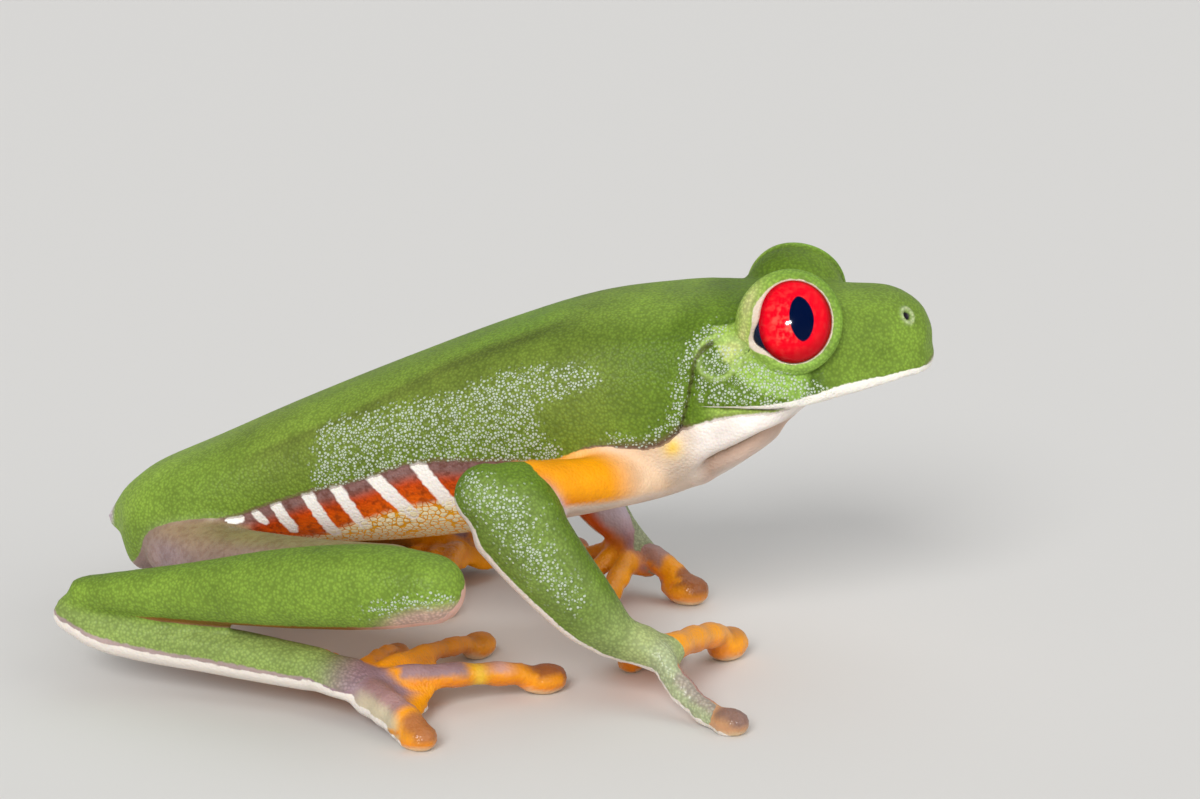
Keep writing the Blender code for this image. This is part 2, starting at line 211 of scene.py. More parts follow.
def carried_ellipse(rows, count, sides=28):
    """An ellipse carried along a limb: centre + cos*half width*side + sin*half height*up. Each round end
    follows a quarter circle as deep as the mean radius."""
    centres, along, side, up, sizes = limb_frame(rows, count)
    turns = np.arange(sides) * 2 * math.pi / sides
    bend = np.radians((72, 54, 36, 18))
    start = [(0, math.cos(a), -math.sin(a)) for a in bend]
    end = [(count - 1, math.cos(a), math.sin(a)) for a in bend[::-1]]
    at, shrink, shift = np.array(start + [(k, 1, 0) for k in range(count)] + end).T
    at = at.astype(int)
    mean = sizes.mean(1)
    middle = centres[at] + along[at] * (shift * mean[at])[:, None]
    wide, high = (sizes[at] * shrink[:, None]).T[:, :, None, None]
    rings = (middle[:, None] + np.cos(turns)[:, None] * wide * side[at][:, None]
             + np.sin(turns)[:, None] * high * up[at][:, None])
    return closed_rings(rings, centres[0] - along[0] * mean[0], centres[-1] + along[-1] * mean[-1])


for rows in LIMBS.values():
    flesh.append(carried_ellipse(rows, 40))


# Fingers and toes. Round-jointed, each arched from the hand or foot down to a sticky disc that lies flat.
# x, y, z of the base, x, y of the disc, width of the digit, width of the disc, power of its fall to the
# floor: under 1 it arches, over 1 it drops at once and then lies along the floor
DIGITS = {
    "finger_1_r": (8.8, -10.9, 3.4, 8.7, -5.0, 1.3, 1.9, 0.6),
    "finger_2_r": (10.2, -10.3, 3.3, 11.0, -3.8, 1.4, 2.1, 0.6),
    "finger_3_r": (12.0, -10.7, 3.6, 14.8, -1.7, 1.9, 2.8, 0.5),
    "finger_4_r": (11.2, -13.0, 3.8, 15.9, -16.6, 1.6, 2.1, 2.2),
    "finger_1_l": (5.2, 13.8, 3.0, 0.9, 15.1, 1.3, 1.9, 0.6),
    "finger_2_l": (5.4, 12.2, 2.9, 3.7, 8.6, 1.4, 2.1, 0.6),
    "finger_3_l": (6.8, 11.3, 2.6, 5.8, 5.2, 1.7, 2.6, 0.6),
    "finger_4_l": (8.7, 12.4, 2.9, 11.1, 10.9, 1.9, 2.8, 0.6),
    "toe_1_r": (-8.9, -13.6, 2.4, -12.2, -6.6, 1.2, 1.8, 0.6),
    "toe_2_r": (-7.4, -13.2, 2.5, -7.0, -5.2, 1.2, 1.9, 0.6),
    "toe_3_r": (-5.6, -13.6, 2.7, -1.8, -3.2, 1.4, 2.3, 0.6),
    "toe_4_r": (-4.5, -15.7, 2.6, 3.5, -10.0, 1.7, 2.5, 0.6),
    "toe_5_r": (-5.9, -18.5, 2.1, -2.8, -21.4, 2.3, 2.2, 0.6),
    "toe_1_l": (-8.9, 13.6, 2.4, -12.2, 6.6, 1.2, 1.8, 0.6),
    "toe_2_l": (-7.4, 13.2, 2.5, -8.4, 5.2, 1.2, 1.9, 0.6),
    "toe_3_l": (-5.9, 13.6, 2.6, -5.7, 6.0, 1.3, 2.3, 0.6),
    "toe_4_l": (-4.6, 17.0, 2.5, 1.6, 21.2, 1.7, 2.4, 0.6),
    "toe_5_l": (-6.6, 19.0, 2.1, -7.2, 21.5, 2.0, 2.2, 0.6),
}
DISC_FLATNESS = 0.8


def disc_height(disc):
    """The height of a disc's middle, whose lowest 0.12 mm is pressed flat on the floor."""
    return disc * DISC_FLATNESS / 2 - 0.12


def digit_rows(base_x, base_y, base_z, disc_x, disc_y, width, disc, fall):
    """Stations down a digit: its height over the floor falls as (1 - t)^fall. It is waisted between its
    joints and behind the disc."""
    tip_z = disc_height(disc)
    t = np.array((-0.12, 0, 0.2, 0.36, 0.52, 0.66, 0.78, 0.86))
    thick = np.array((1.0, 1.04, 0.92, 1.04, 0.86, 1.02, 0.9, 0.88)) * width
    z = tip_z + (base_z - tip_z) * np.clip(1 - t, 0, 1) ** fall
    x, y = base_x + (disc_x - base_x) * t, base_y + (disc_y - base_y) * t
    return np.column_stack([x, y, z, thick, thick * 0.95])


def disc_rows(base_x, base_y, base_z, disc_x, disc_y, width, disc, fall):
    """The disc: a flat round pad, as long as it is wide, with a quarter-circle front and back."""
    reach = np.array((disc_x - base_x, disc_y - base_y))
    reach /= np.linalg.norm(reach)
    t = np.array((-0.42, -0.26, 0.0, 0.22))
    thick = disc * np.array((0.66, 0.9, 1.0, 0.94))
    return np.column_stack([disc_x + reach[0] * t * disc, disc_y + reach[1] * t * disc,
                            np.full(4, disc_height(disc)), thick, thick * DISC_FLATNESS])


for name, sizes in DIGITS.items():
    flesh.append(carried_ellipse(digit_rows(*sizes), 30, 18))
    flesh.append(carried_ellipse(disc_rows(*sizes), 12, 24))


# Webs. A thin fold of skin joins each toe to the next for about half its length, and hangs in a curve
# between them. The fingers have less.
WEB_THICKNESS, WEB_DROP = 0.5, 0.35


def web(first, second, reach):
    """A closed sheet between two digits: the straight lines across from one curve to the other, whose far
    edge is drawn back by a parabola in the middle."""
    a, b = (smooth_rows(digit_rows(*DIGITS[name]), 60)[:, :3] for name in (first, second))
    across = np.linspace(0, 1, 14)
    far = reach * (1 - 1.6 * across * (1 - across))
    along = np.linspace(0.08, 1, 16)[:, None] * far
    at = along * 59
    low = np.minimum(at.astype(int), 58)
    part = (at - low)[..., None]
    on_a, on_b = (c[low] * (1 - part) + c[low + 1] * part for c in (a, b))
    middle = on_a * (1 - across[:, None]) + on_b * across[:, None]
    middle[..., 2] -= WEB_DROP
    lift = np.array((0, 0, WEB_THICKNESS / 2))
    grid = np.concatenate([middle + lift, (middle - lift)[:, ::-1]], 1)
    return closed_rings(grid, middle[0].mean(0), middle[-1].mean(0))


for suffix in "lr":
    for digit, count, reach in (("toe", 5, 0.55), ("finger", 4, 0.3)):
        for number in range(1, count):
            flesh.append(web(f"{digit}_{number}_{suffix}", f"{digit}_{number + 1}_{suffix}", reach))


# The skin itself. The flesh is fused into one closed surface, which is then evened. It is worked at half its
# pitch over the head and the barred flanks, where the folds and marks are finest.
SKIN_PITCH = 0.36


def placed(name, data):
    """A new object in the scene, unturned and at the origin."""
    made = bpy.data.objects.new(name, data)
    bpy.context.scene.collection.objects.link(made)
    return made


def face_outwards(mesh):
    shell = bmesh.new()
    shell.from_mesh(mesh)
    bmesh.ops.recalc_face_normals(shell, faces=shell.faces)
    shell.to_mesh(mesh)
    shell.free()


firsts = np.cumsum([0] + [len(points) for points, _ in flesh])
points = np.vstack([points for points, _ in flesh])
faces = [[corner + first for corner in face] for (_, made), first in zip(flesh, firsts) for face in made]
raw_mesh = bpy.data.meshes.new("flesh")
raw_mesh.from_pydata(points, [], faces)
face_outwards(raw_mesh)
raw = placed("flesh", raw_mesh)
fuse = raw.modifiers.new("fuse", "REMESH")
fuse.mode = "VOXEL"
fuse.voxel_size = SKIN_PITCH
skin_mesh = bpy.data.meshes.new_from_object(raw.evaluated_get(bpy.context.evaluated_depsgraph_get()))
bpy.data.objects.remove(raw)


def rows_of(items, name, width, kind=np.float32):
    """One row of numbers for each vertex or edge of a mesh."""
    found = np.empty(len(items) * width, kind)
    items.foreach_get(name, found)
    return found.reshape(-1, width)


def mesh_points(mesh):
    return rows_of(mesh.vertices, "co", 3).astype(float)


def mesh_edges(mesh):
    return rows_of(mesh.edges, "vertices", 2, np.int32)


def worked_finer(mesh, here):
    """Halves the pitch where all of an edge's ends are in the chosen place."""
    mesh.edges.foreach_set("select", here[mesh_edges(mesh)].all(1))
    shell = bmesh.new()
    shell.from_mesh(mesh)
    chosen = [edge for edge in shell.edges if edge.select]
    bmesh.ops.subdivide_edges(shell, edges=chosen, cuts=1, use_grid_fill=True)
    bmesh.ops.triangulate(shell, faces=[face for face in shell.faces if len(face.verts) > 4])
    shell.to_mesh(mesh)
    shell.free()


def eye_angles(at, suffix):
    """Distance from the eyeball's centre, and the angle off its gaze."""
    centre, _ = EYES[suffix]
    offset = at - centre
    far = np.linalg.norm(offset, axis=1)
    return far, np.degrees(np.arccos(np.clip(offset @ GAZE[suffix] / np.maximum(far, 1e-6), -1, 1)))


def eye_turn(at, suffix):
    """The angle round the gaze of each point, from 0 in front through 90 above, and the level forward and
    upward directions that it is measured from."""
    centre, _ = EYES[suffix]
    forward = np.array((1.0, 0, 0)) - GAZE[suffix][0] * GAZE[suffix]
    forward /= np.linalg.norm(forward)
    above = np.cross(GAZE[suffix], forward)
    above *= np.sign(above[2])
    return np.arctan2((at - centre) @ above, (at - centre) @ forward), forward, above


at = mesh_points(skin_mesh)
x, y, z = at.T
on_head = (x > 11.6) & (z > 15.5) & (np.abs(y) < 9.5)
on_flank = (x > -19.5) & (x < 0.5) & (z > 8.2) & (z < 15.5) & (np.abs(y) < 8.3) & (np.abs(y) > 4.2)
worked_finer(skin_mesh, on_head | on_flank)
at = mesh_points(skin_mesh)
near_lids = np.zeros(len(at), bool)
for suffix in EYES:
    far, angle = eye_angles(at, suffix)
    near_lids |= (far < 4.2) & (angle > 48) & (angle < 84)
worked_finer(skin_mesh, near_lids)

skin = mesh_points(skin_mesh)
links = mesh_edges(skin_mesh)
neighbours = np.bincount(links.ravel(), minlength=len(skin))


def spread(values):
    """The mean of each point's neighbours, over the skin's edges."""
    ends = np.concatenate([links[:, 1], links[:, 0]])
    starts = np.concatenate([links[:, 0], links[:, 1]])
    total = np.stack([np.bincount(starts, column[ends], len(values)) for column in values.T], -1)
    return total / neighbours[:, None]


def relaxed(values, rounds, strength=0.5):
    """Each point moves towards its neighbours' mean and then back a little further, which evens the skin
    without shrinking it."""
    strength = np.broadcast_to(strength, len(values))[:, None]
    for _ in range(rounds):
        values = values + strength * (spread(values) - values)
        values = values - 1.06 * strength * (spread(values) - values)
    return values


skin = relaxed(skin, 12)


def skin_normals(at):
    """The skin's outward directions with its points at those places."""
    skin_mesh.vertices.foreach_set("co", at.astype(np.float32).ravel())
    skin_mesh.update()
    return rows_of(skin_mesh.vertex_normals, "vector", 3).astype(float)


outward = skin_normals(skin)


# Which part of the body each point of skin covers, for its folds and its colours.
def ramp(values, start, end):
    """0 up to start and 1 past end, with a smooth S between them; where end is the lower, it falls."""
    t = np.clip((values - start) / (end - start), 0, 1)
    return t * t * (3 - 2 * t)


def bump(values, middle, width):
    """A bell curve, 1 at the middle."""
    return np.exp(-(((values - middle) / width) ** 2))


def along_limb(rows, points, reach=2.5, count=160):
    """Of points within reach of a limb: how far down it (0 to 1), outward and upward offsets over the half
    width and height, and distance from its surface. Elsewhere the distance is 9."""
    centres, along, side, up, sizes = limb_frame(rows, count)
    sign = np.sign(centres[:, 1].mean()) * np.sign(side[:, 1].mean())
    margin = sizes.max() + reach
    local = np.flatnonzero(((points > centres.min(0) - margin) & (points < centres.max(0) + margin)).all(1))
    offset = points[local, None] - centres[None]
    nearest = np.einsum("ijk,ijk->ij", offset, offset).argmin(1)
    offset = offset[np.arange(len(local)), nearest]
    wide, high = sizes[nearest].T
    out = np.einsum("ij,ij->i", offset, side[nearest]) / wide * sign
    rise = np.einsum("ij,ij->i", offset, up[nearest]) / high
    past = np.einsum("ij,ij->i", offset, along[nearest])
    step = np.linalg.norm(np.diff(centres, axis=0), axis=1).mean()
    t, o, u, d = (np.full(len(points), value) for value in (0.0, 0.0, 0.0, 9.0))
    t[local] = (nearest + past / step) / (count - 1)
    o[local], u[local] = out, rise
    ends = np.where((nearest == 0) | (nearest == count - 1), past / sizes.mean(), 0)
    d[local] = (np.sqrt(out**2 + rise**2 + ends**2) - 1) * np.sqrt(wide * high)
    return t, o, u, d


x, y, z = skin.T
aside = np.abs(y)
stations = smooth_rows(BODY, 300).T
top, wide, bottom, half, upper, lower = (np.interp(x, stations[0], column) for column in stations[1:])
power = np.where(z >= wide, upper, lower)
height = np.maximum(np.where(z >= wide, top - wide, wide - bottom), 0.3)
within = (aside / half) ** power + (np.abs(z - wide) / height) ** power
body_gap = (within ** (1 / power) - 1) * np.sqrt(half * height)

where = {name: along_limb(rows, skin) for name, rows in LIMBS.items()}
for name, sizes in DIGITS.items():
    whole = np.vstack([digit_rows(*sizes)[1:-1], disc_rows(*sizes)])
    _, out, rise, gap = along_limb(whole, skin)
    reach = np.array((sizes[3] - sizes[0], sizes[4] - sizes[1]))
    where[name] = ((skin[:, :2] - sizes[:2]) @ reach / (reach @ reach), out, rise, gap)
parts = ["body", *where]
gaps = np.stack([body_gap, *(where[name][3] for name in where)], 1)
share = np.exp(-6.0 * np.clip(gaps - gaps.min(1, keepdims=True), 0, 20))
share /= share.sum(1, keepdims=True)
share = dict(zip(parts, share.T))


def from_line(across, upward, line):
    """Distance from a bent line on the flattened skin, which side (positive on its left), and how far along
    it (0 to 1)."""
    line = np.array(line, float)
    step = np.diff(line, axis=0)
    length = np.linalg.norm(step, axis=1)
    reached = np.append(0, np.cumsum(length)) / length.sum()
    offset = np.stack([across, upward], 1)[:, None] - line[:-1]
    t = np.clip((offset * step).sum(2) / (step**2).sum(1), 0, 1)
    offset = offset - t[..., None] * step
    gap = np.hypot(*np.moveaxis(offset, 2, 0))
    nearest = gap.argmin(1)
    here = np.arange(len(gap)), nearest
    (ahead, rise), (dx, dz) = step[nearest].T, offset[here].T
    return gap[here], np.sign(ahead * dz - rise * dx), (reached[:-1] + t * np.diff(reached))[here]


# Folds of the head. The mouth is a long closed slit under a proud upper lip; a soft fold runs from behind
# each eye over the eardrum down to the throat; the nostrils are pits near the tip of the snout.
MOUTH = [(12.0, 18.62), (13.9, 18.57), (15.8, 18.55), (17.7, 18.43), (19.35, 18.40), (20.9, 18.65),
         (22.2, 19.0), (24.0, 19.38), (25.9, 19.8), (27.2, 20.0), (29.0, 20.15)]
EAR_FOLD = [(15.9, 23.15), (14.83, 22.95), (13.94, 22.6), (13.3, 22.1), (12.9, 21.4), (12.7, 20.28),
            (12.5, 18.99), (12.2, 17.68), (11.9, 16.93), (11.2, 16.16)]
THROAT_FOLD = [(19.2, 17.1), (17.3, 16.55), (15.7, 15.7), (14.6, 15.15), (13.75, 14.6), (13.1, 13.8),
               (12.4, 13.1)]
EARDRUM, EARDRUM_RADIUS = (14.3, 21.6), 1.2
NOSTRIL = (26.3, 2.55, 23.85)

head_side = ramp(x, 10.5, 11.8) * ramp(aside, 2.0, 3.5) * share["body"]
over_mouth = z - np.interp(x, *np.array(MOUTH).T)
mouth_here = ramp(x, 13.2, 14.6) * ramp(share["body"], 0.3, 0.7)
upper_lip = 0.17 * ramp(over_mouth, -0.12, 0.16) * ramp(over_mouth, 1.6, 0.5)
under_lip = (0.18 + 0.22 * ramp(x, 19, 22)) * ramp(over_mouth, 0.1, -0.2) * ramp(over_mouth, -1.6, -0.2)
lift = mouth_here * (upper_lip - under_lip - 0.12 * bump(over_mouth, -0.05, 0.16))
lift += 0.16 * bump(x, 27.6, 1.0) * bump(z, 22.6, 1.0)

fold_gap, fold_side, fold_along = from_line(x, z, EAR_FOLD)
fold_here = ramp(fold_along, 0.06, 0.22) * ramp(fold_along, 1.0, 0.9) * head_side
lift += fold_here * np.where(fold_side < 0, 0.34 * np.exp(-fold_gap / 1.3), -0.16 * np.exp(-fold_gap / 0.6))
lift -= fold_here * 0.22 * bump(fold_gap, 0, 0.24)

throat_gap, throat_side, throat_along = from_line(x, z, THROAT_FOLD)
throat_here = ramp(aside, 1.2, 3.8) * ramp(x, 12.2, 13.6) * ramp(throat_along, 0.0, 0.2) * share["body"]
lift += throat_here * (0.24 * bump(throat_gap, 0.8, 0.5) - 0.3 * bump(throat_gap, 0, 0.28))

drum = np.hypot(x - EARDRUM[0], z - EARDRUM[1]) / EARDRUM_RADIUS
drum_here = ramp(aside, 4, 5) * share["body"]
lift += drum_here * (0.17 * bump(drum, 1.0, 0.17) - 0.12 * ramp(drum, 0.95, 0.6))

nostril_gap = np.linalg.norm((np.stack([x, aside, z], 1) - NOSTRIL) * (1.15, 1, 0.8), axis=1)
lift += 0.12 * bump(nostril_gap, 0.5, 0.17) - 0.45 * ramp(nostril_gap, 0.34, 0.1)
skin = skin + outward * lift[:, None]


# Lids: the upper and lower lids close into one raised ring. The skin turns in at its edge and goes down
# behind the eyeball.
def round_eye(turn, middle, width):
    """A bell round the eye, 1 at the middle; middle and width are in degrees, and turn is in radians."""
    return np.exp((np.cos(turn - math.radians(middle)) - 1) / (1 - math.cos(math.radians(width))))


def iris_opening(turn):
    """How far off the gaze the iris shows, in degrees: 61 - 5.6 cos 2t + 2.6 cos t - 1.4 sin t. It is taller
    than long."""
    return 61 - 5.6 * np.cos(2 * turn) + 2.6 * np.cos(turn) - 1.4 * np.sin(turn)


def lid_opening(turn):
    """Where the lids meet the eyeball: at the iris, and drawn out to a corner behind and below."""
    return iris_opening(turn) + 15 * round_eye(turn, 207, 16)


def lid_width(turn):
    """The lid ring's width in degrees off the gaze: widest behind the eye."""
    return 11 + 24 * round_eye(turn, 186, 60) + 4 * round_eye(turn, 270, 40) + 4 * round_eye(turn, 90, 40)


# how far from the eyeball's centre its lids reach, and how deep a groove surrounds them
LID_REACH, GROOVE_DEPTH = 4.6, 0.14
eye_rings = []
for suffix, (centre, radius) in EYES.items():
    gaze = GAZE[suffix]
    offset = skin - centre
    far, angle = eye_angles(skin, suffix)
    turn, _, _ = eye_turn(skin, suffix)
    opening, width = lid_opening(turn), lid_width(turn)
    drawn = opening + (angle - opening) * (1 - 0.45 * bump(angle, opening, 8.0))
    angle = np.where(far < LID_REACH, drawn, angle)
    behind = round_eye(turn, 185, 50)
    ring = (radius - 0.5 + 0.77 * ramp(angle, opening - 5, opening + 3)
            + (0.24 + 0.20 * behind) * bump(angle, opening + 0.75 * width, 8.0 + 11 * behind))
    here = (1 - ramp(far, 4.1, 5.0)) * (1 - ramp(angle - opening, 13 + 14 * behind, 32 + 10 * behind))
    here = np.where(angle < opening + 8, far < LID_REACH, here)
    far = far + (ring - far) * here
    level = offset - (offset @ gaze)[:, None] * gaze
    level /= np.maximum(np.linalg.norm(level, axis=1), 1e-6)[:, None]
    tilt = np.radians(angle)[:, None]
    moved = centre + far[:, None] * (np.cos(tilt) * gaze + np.sin(tilt) * level)
    skin = skin + (moved - skin) * (here > 0)[:, None]
    soften = (far < 5.6) * ramp(angle - opening, 7, 12) * (1 - ramp(angle - opening, 45, 60))
    skin = relaxed(skin, 8, 0.5 * soften)
    groove = bump(angle - opening, width + 2.5, 2.5) * (far < 5.2) * (1 - round_eye(turn, 90, 50))
    skin = skin - outward * (GROOVE_DEPTH * groove)[:, None]
    past_lid = far * np.sin(np.radians(angle)) - radius * np.sin(np.radians(opening))
    past_lid = np.where((angle > 88) | (far > 5), 9.0, past_lid)
    eye_rings.append((angle - opening, far, turn, width, past_lid))

# The outer edge of each forearm, hand, fourth finger, tarsus and fifth toe bears a thin raised fringe.
FRINGE_HEIGHT = 0.16
fringe = np.zeros(len(skin))
for suffix in "lr":
    for name, low, high, first, last in (("forearm", -112, -56, -0.1, 1.2), ("hand", -100, -48, -1, 2),
                                         ("finger_4", -90, -28, -1, 1.1), ("tarsus", -100, -20, -1, 2),
                                         ("toe_5", -80, -12, -1, 0.95), ("foot", -70, -12, -1, 2)):
        t, out, rise, _ = where[f"{name}_{suffix}"]
        turn = np.degrees(np.arctan2(rise, out))
        strip = ramp(turn, low - 12, low + 4) * ramp(turn, high + 9, high - 5)
        strip *= ramp(t, first - 0.1, first + 0.05) * ramp(t, last + 0.1, last - 0.1)
        fringe += strip * share[f"{name}_{suffix}"]
skin = skin + outward * (FRINGE_HEIGHT * fringe)[:, None]
skin[:, 2] = np.maximum(skin[:, 2], 0.0)


# Colours of the skin. Leaf green covers what shows of a resting frog: back, head, outer forearm, shank and
# tarsus. What it hides is bright: barred flanks, orange arms and digits, lilac feet and a cream throat.
CREAM, CHALK, PEACH, PINK, FAWN = "#e8d7c6", "#f6ece4", "#f2cfab", "#dcae9e", "#bd9478"
ORANGE, DEEP_ORANGE, YELLOW, RUST, PLUM = "#fba204", "#dc5f02", "#fdd03a", "#d04a06", "#8b6863"
LILAC, PALE_LILAC, SLATE, TAN, BRONZE = "#9c8088", "#cdbcc6", "#9a8079", "#a38a6c", "#8a5a1e"
LEAF, LIGHT_LEAF, OLIVE_LEAF, DULL_LEAF, LID_LEAF = "#617d20", "#8eab44", "#36520c", "#8f9f60", "#7a9f38"
EDGE_BROWN = "#6f5145"


def linear(code):
    """An sRGB hex colour as linear red, green and blue."""
    values = np.array([int(code[k:k + 2], 16) / 255 for k in (1, 3, 5)])
    return np.where(values <= 0.04045, values / 12.92, ((values + 0.055) / 1.055) ** 2.4)


def painted(base, *coats):
    """A colour for each point of skin: the base, moved towards each coat's colour in turn by its amount."""
    found = np.broadcast_to(linear(base) if isinstance(base, str) else base, skin.shape)
    for colour, amount in coats:
        amount = np.atleast_1d(np.clip(amount, 0, 1))[:, None]
        found = found * (1 - amount) + (linear(colour) if isinstance(colour, str) else colour) * amount
    return found


def facing(name, middle, spread_angle):
    """How far inside an angle round a limb a point lies, in mm along its skin: 0 at the edge. The angle is in
    degrees, 0 outward and 90 up."""
    _, out, rise, _ = where[name]
    thick = np.array(LIMBS[name])[:, 3:].mean() if name in LIMBS else DIGITS[name][5]
    off = np.abs((np.degrees(np.arctan2(rise, out)) - middle + 180) % 360 - 180)
    return (spread_angle - off) * math.pi / 180 * thick / 2


# x, z of the green's lower edge, from the vent to the lip
HEM = [(-29.0, 3.0), (-26.3, 5.0), (-25.3, 5.9), (-24.7, 6.6), (-24.1, 7.35), (-23.0, 8.0), (-21.5, 8.6),
       (-19.4, 9.4), (-17.9, 9.85), (-16.5, 10.35), (-14.8, 11.0), (-13.1, 11.65), (-11.0, 12.3),
       (-8.95, 12.9), (-6.9, 13.7), (-5.4, 14.2), (-3.5, 14.45), (0.0, 14.6), (3.3, 14.8), (4.6, 15.05),
       (5.6, 15.4), (6.9, 15.5), (8.2, 15.55), (10.1, 15.75), (11.2, 16.15), (11.95, 16.9), (13.3, 17.45),
       (14.6, 17.85), (15.8, 18.05), (17.1, 18.12), (18.4, 18.2), (19.4, 18.5), (20.4, 18.9), (22.2, 19.4),
       (24.0, 19.8), (29.0, 20.5)]
NO_GREEN = np.full(len(skin), -0.6)
x, y, z = skin.T
aside = np.abs(y)
below_hem = np.interp(x, *smooth_rows(HEM, 240).T) - z
up_flank = -0.9 * below_hem
# how far inside the green a point lies, the colour under the green and the colour of the green, by part
greens, unders, overs = {}, {}, {}

# flank, groin, armpit and throat
greens["body"] = np.where((aside > 2.5) | (x < -20), up_flank, np.minimum(up_flank, (z - wide) * 0.8))
on_flank = ramp(x, -19.2, -18.2) * ramp(x, 3.0, 0.5)
yolk_top = np.interp(x, (-20, -12, -9.2, -6.0, -3.0, 0.0, 3.0), (7.0, 8.4, 9.8, 11.0, 11.6, 11.9, 12.1))
flank_ground = painted(PLUM, (RUST, ramp(below_hem, 0.5, 1.5)), ("#ee6a08", 0.8 * ramp(below_hem, 1.2, 2.6)),
                       ("#ffb91f", ramp(z, yolk_top + 0.35, yolk_top - 0.3)))
armpit = ramp(x, 0.5, 3.0) * ramp(x, 8.0, 5.6) * ramp(z, 11.5, 13.0)
armpit *= 1 - 0.9 * bump(x, 6.1, 2.0) * bump(below_hem, 0.2, 0.5)
throat_shade = bump(throat_gap, 0, np.where(throat_side > 0, 1.2, 0.3))
throat_shade *= ramp(x, 12.6, 14) * ramp(aside, 1.2, 3.8)
unders["body"] = painted(
    CREAM, ("#f3c873", ramp(x, 9, 4) * ramp(z, 10, 13)), (flank_ground, on_flank),
    (SLATE, ramp(x, -18.6, -19.8) * ramp(x, -28, -25)), (ORANGE, armpit),
    (PEACH, bump(x, 9.2, 2.0) * ramp(z, 12, 14)), (YELLOW, 0.85 * bump(x, 11.5, 0.6) * bump(z, 15.75, 0.7)),
    (CHALK, ramp(x, 12.3, 13.6)), (FAWN, 0.8 * throat_shade))

# back and head: a dark line of painted shade runs along the fold of the shoulder, under lighter green
over_shoulder = z - top + np.interp(x, (-14.6, -9.8, -3.5, 1.5, 5.8), (1.8, 1.7, 0.95, 0.85, 0.7))
on_shoulder = ramp(x, -19, -14) * ramp(x, 6.0, 1.5)
side_gap, _, _ = from_line(x, z, [(-14.0, 15.2), (-4.0, 18.4), (5.0, 19.2)])
over = painted(
    LEAF, (LIGHT_LEAF, 0.6 * ramp(up_flank / np.maximum(top - wide, 1), 0.85, 1.05) * ramp(x, 15, 12)),
    (OLIVE_LEAF, 0.5 * bump(over_shoulder, -1.0, 3.0) * bump(x, -3, 12.5)),
    ("#76a32f", 0.65 * ramp(over_shoulder, 0.1, 0.5) * on_shoulder),
    ("#263d08", 0.95 * bump(over_shoulder, 0, 0.3) * on_shoulder), (LIGHT_LEAF, 0.6 * ramp(x, -12, -22)),
    ("#7f8d3a", 0.6 * bump(side_gap, 0, 4.5)), (LIGHT_LEAF, 0.4 * ramp(x, 19, 23)),
    (EDGE_BROWN, 0.8 * bump(below_hem, -0.2, 0.35) * ramp(x, 5.2, 7.5) * ramp(x, 13, 11.5)),
    (PALE_LILAC, ramp(x, -26.9, -27.5) * ramp(z, 7.5, 8.3)))
margin = np.full(len(skin), -9.0)
for off_opening, far, turn, width, past_lid in eye_rings:
    near_eye = far < 5.0
    on_lid = near_eye * ramp(off_opening, width + 2, width - 2)
    patches = round_eye(turn, 160, 22) + round_eye(turn, 200, 14)
    # the olive band in the groove round each lid ring is painted shade
    over = painted(
        over, (LID_LEAF, 0.85 * on_lid), ("#9cc25a", 0.7 * on_lid * round_eye(turn, 255, 60)),
        ("#a9c458", 0.7 * on_lid * round_eye(turn, 180, 55)),
        ("#d6d48f", 0.8 * on_lid * patches * bump(off_opening, 11, 8)),
        (OLIVE_LEAF, 0.45 * near_eye * bump(off_opening, width + 2.5, 3) * (1 - round_eye(turn, 90, 60))))
    cream = 0.03 + 0.34 * round_eye(turn, 172, 28) + 0.36 * round_eye(turn, 218, 15)
    margin = np.maximum(margin, cream - past_lid)
below_mouth = mouth_here * ramp(over_mouth, -0.9, -0.5) * ramp(over_mouth, 0.0, -0.2) * ramp(x, 20, 18.5)
overs["body"] = painted(over, ("#a9c46c", 0.9 * drum_here * bump(drum, 1.0, 0.16)),
                        ("#c3cca4", 0.7 * bump(nostril_gap, 0.46, 0.12)), ("#a2bd58", 0.8 * below_mouth))

# pale dots of painted highlight, standing for the glints of wet granules: on the flank, the cheek, the ear
# fold and the edge over the arm; more come on the forearms, thighs and knees below
patch_top = np.interp(x, (-11.4, -6.2, -3.0, 0.0, 2.7, 6.2), (16.3, 18.0, 18.8, 20.2, 20.9, 20.9))
patch_front = np.interp(z, (15.5, 17.0, 18.4, 19.2, 20.0, 20.9), (4.5, 2.8, 3.0, 5.3, 7.2, 6.6))
granular = ramp(z, patch_top + 0.5, patch_top - 0.7) * ramp(x, -12.8, -11.4)
granular *= ramp(x, patch_front + 0.6, patch_front - 0.9) * ramp(aside, 3.5, 5)
cheek_top = 23.5 - 0.42 * (x - 13)
on_cheek = ramp(x, 12.7, 13.3) * ramp(x, 23.5, 21) * ramp(z, cheek_top, cheek_top - 0.6)
on_cheek *= ramp(over_mouth, -0.1, 0.3) * ramp(aside, 4, 5) * (1 - 0.7 * bump(drum, 1.0, 0.2))
edge_gap, _, _ = from_line(x, z, [(11.6, 17.3), (9.8, 16.3), (7.6, 16.1)])
over_arm = bump(edge_gap, 0, 0.6) * ramp(aside, 4, 5)
dots = share["body"] * (1.3 * granular + 1.1 * on_cheek + 0.9 * over_arm)
dots += 1.3 * fold_here * (fold_side < 0) * bump(fold_gap, 0.55, 0.5)

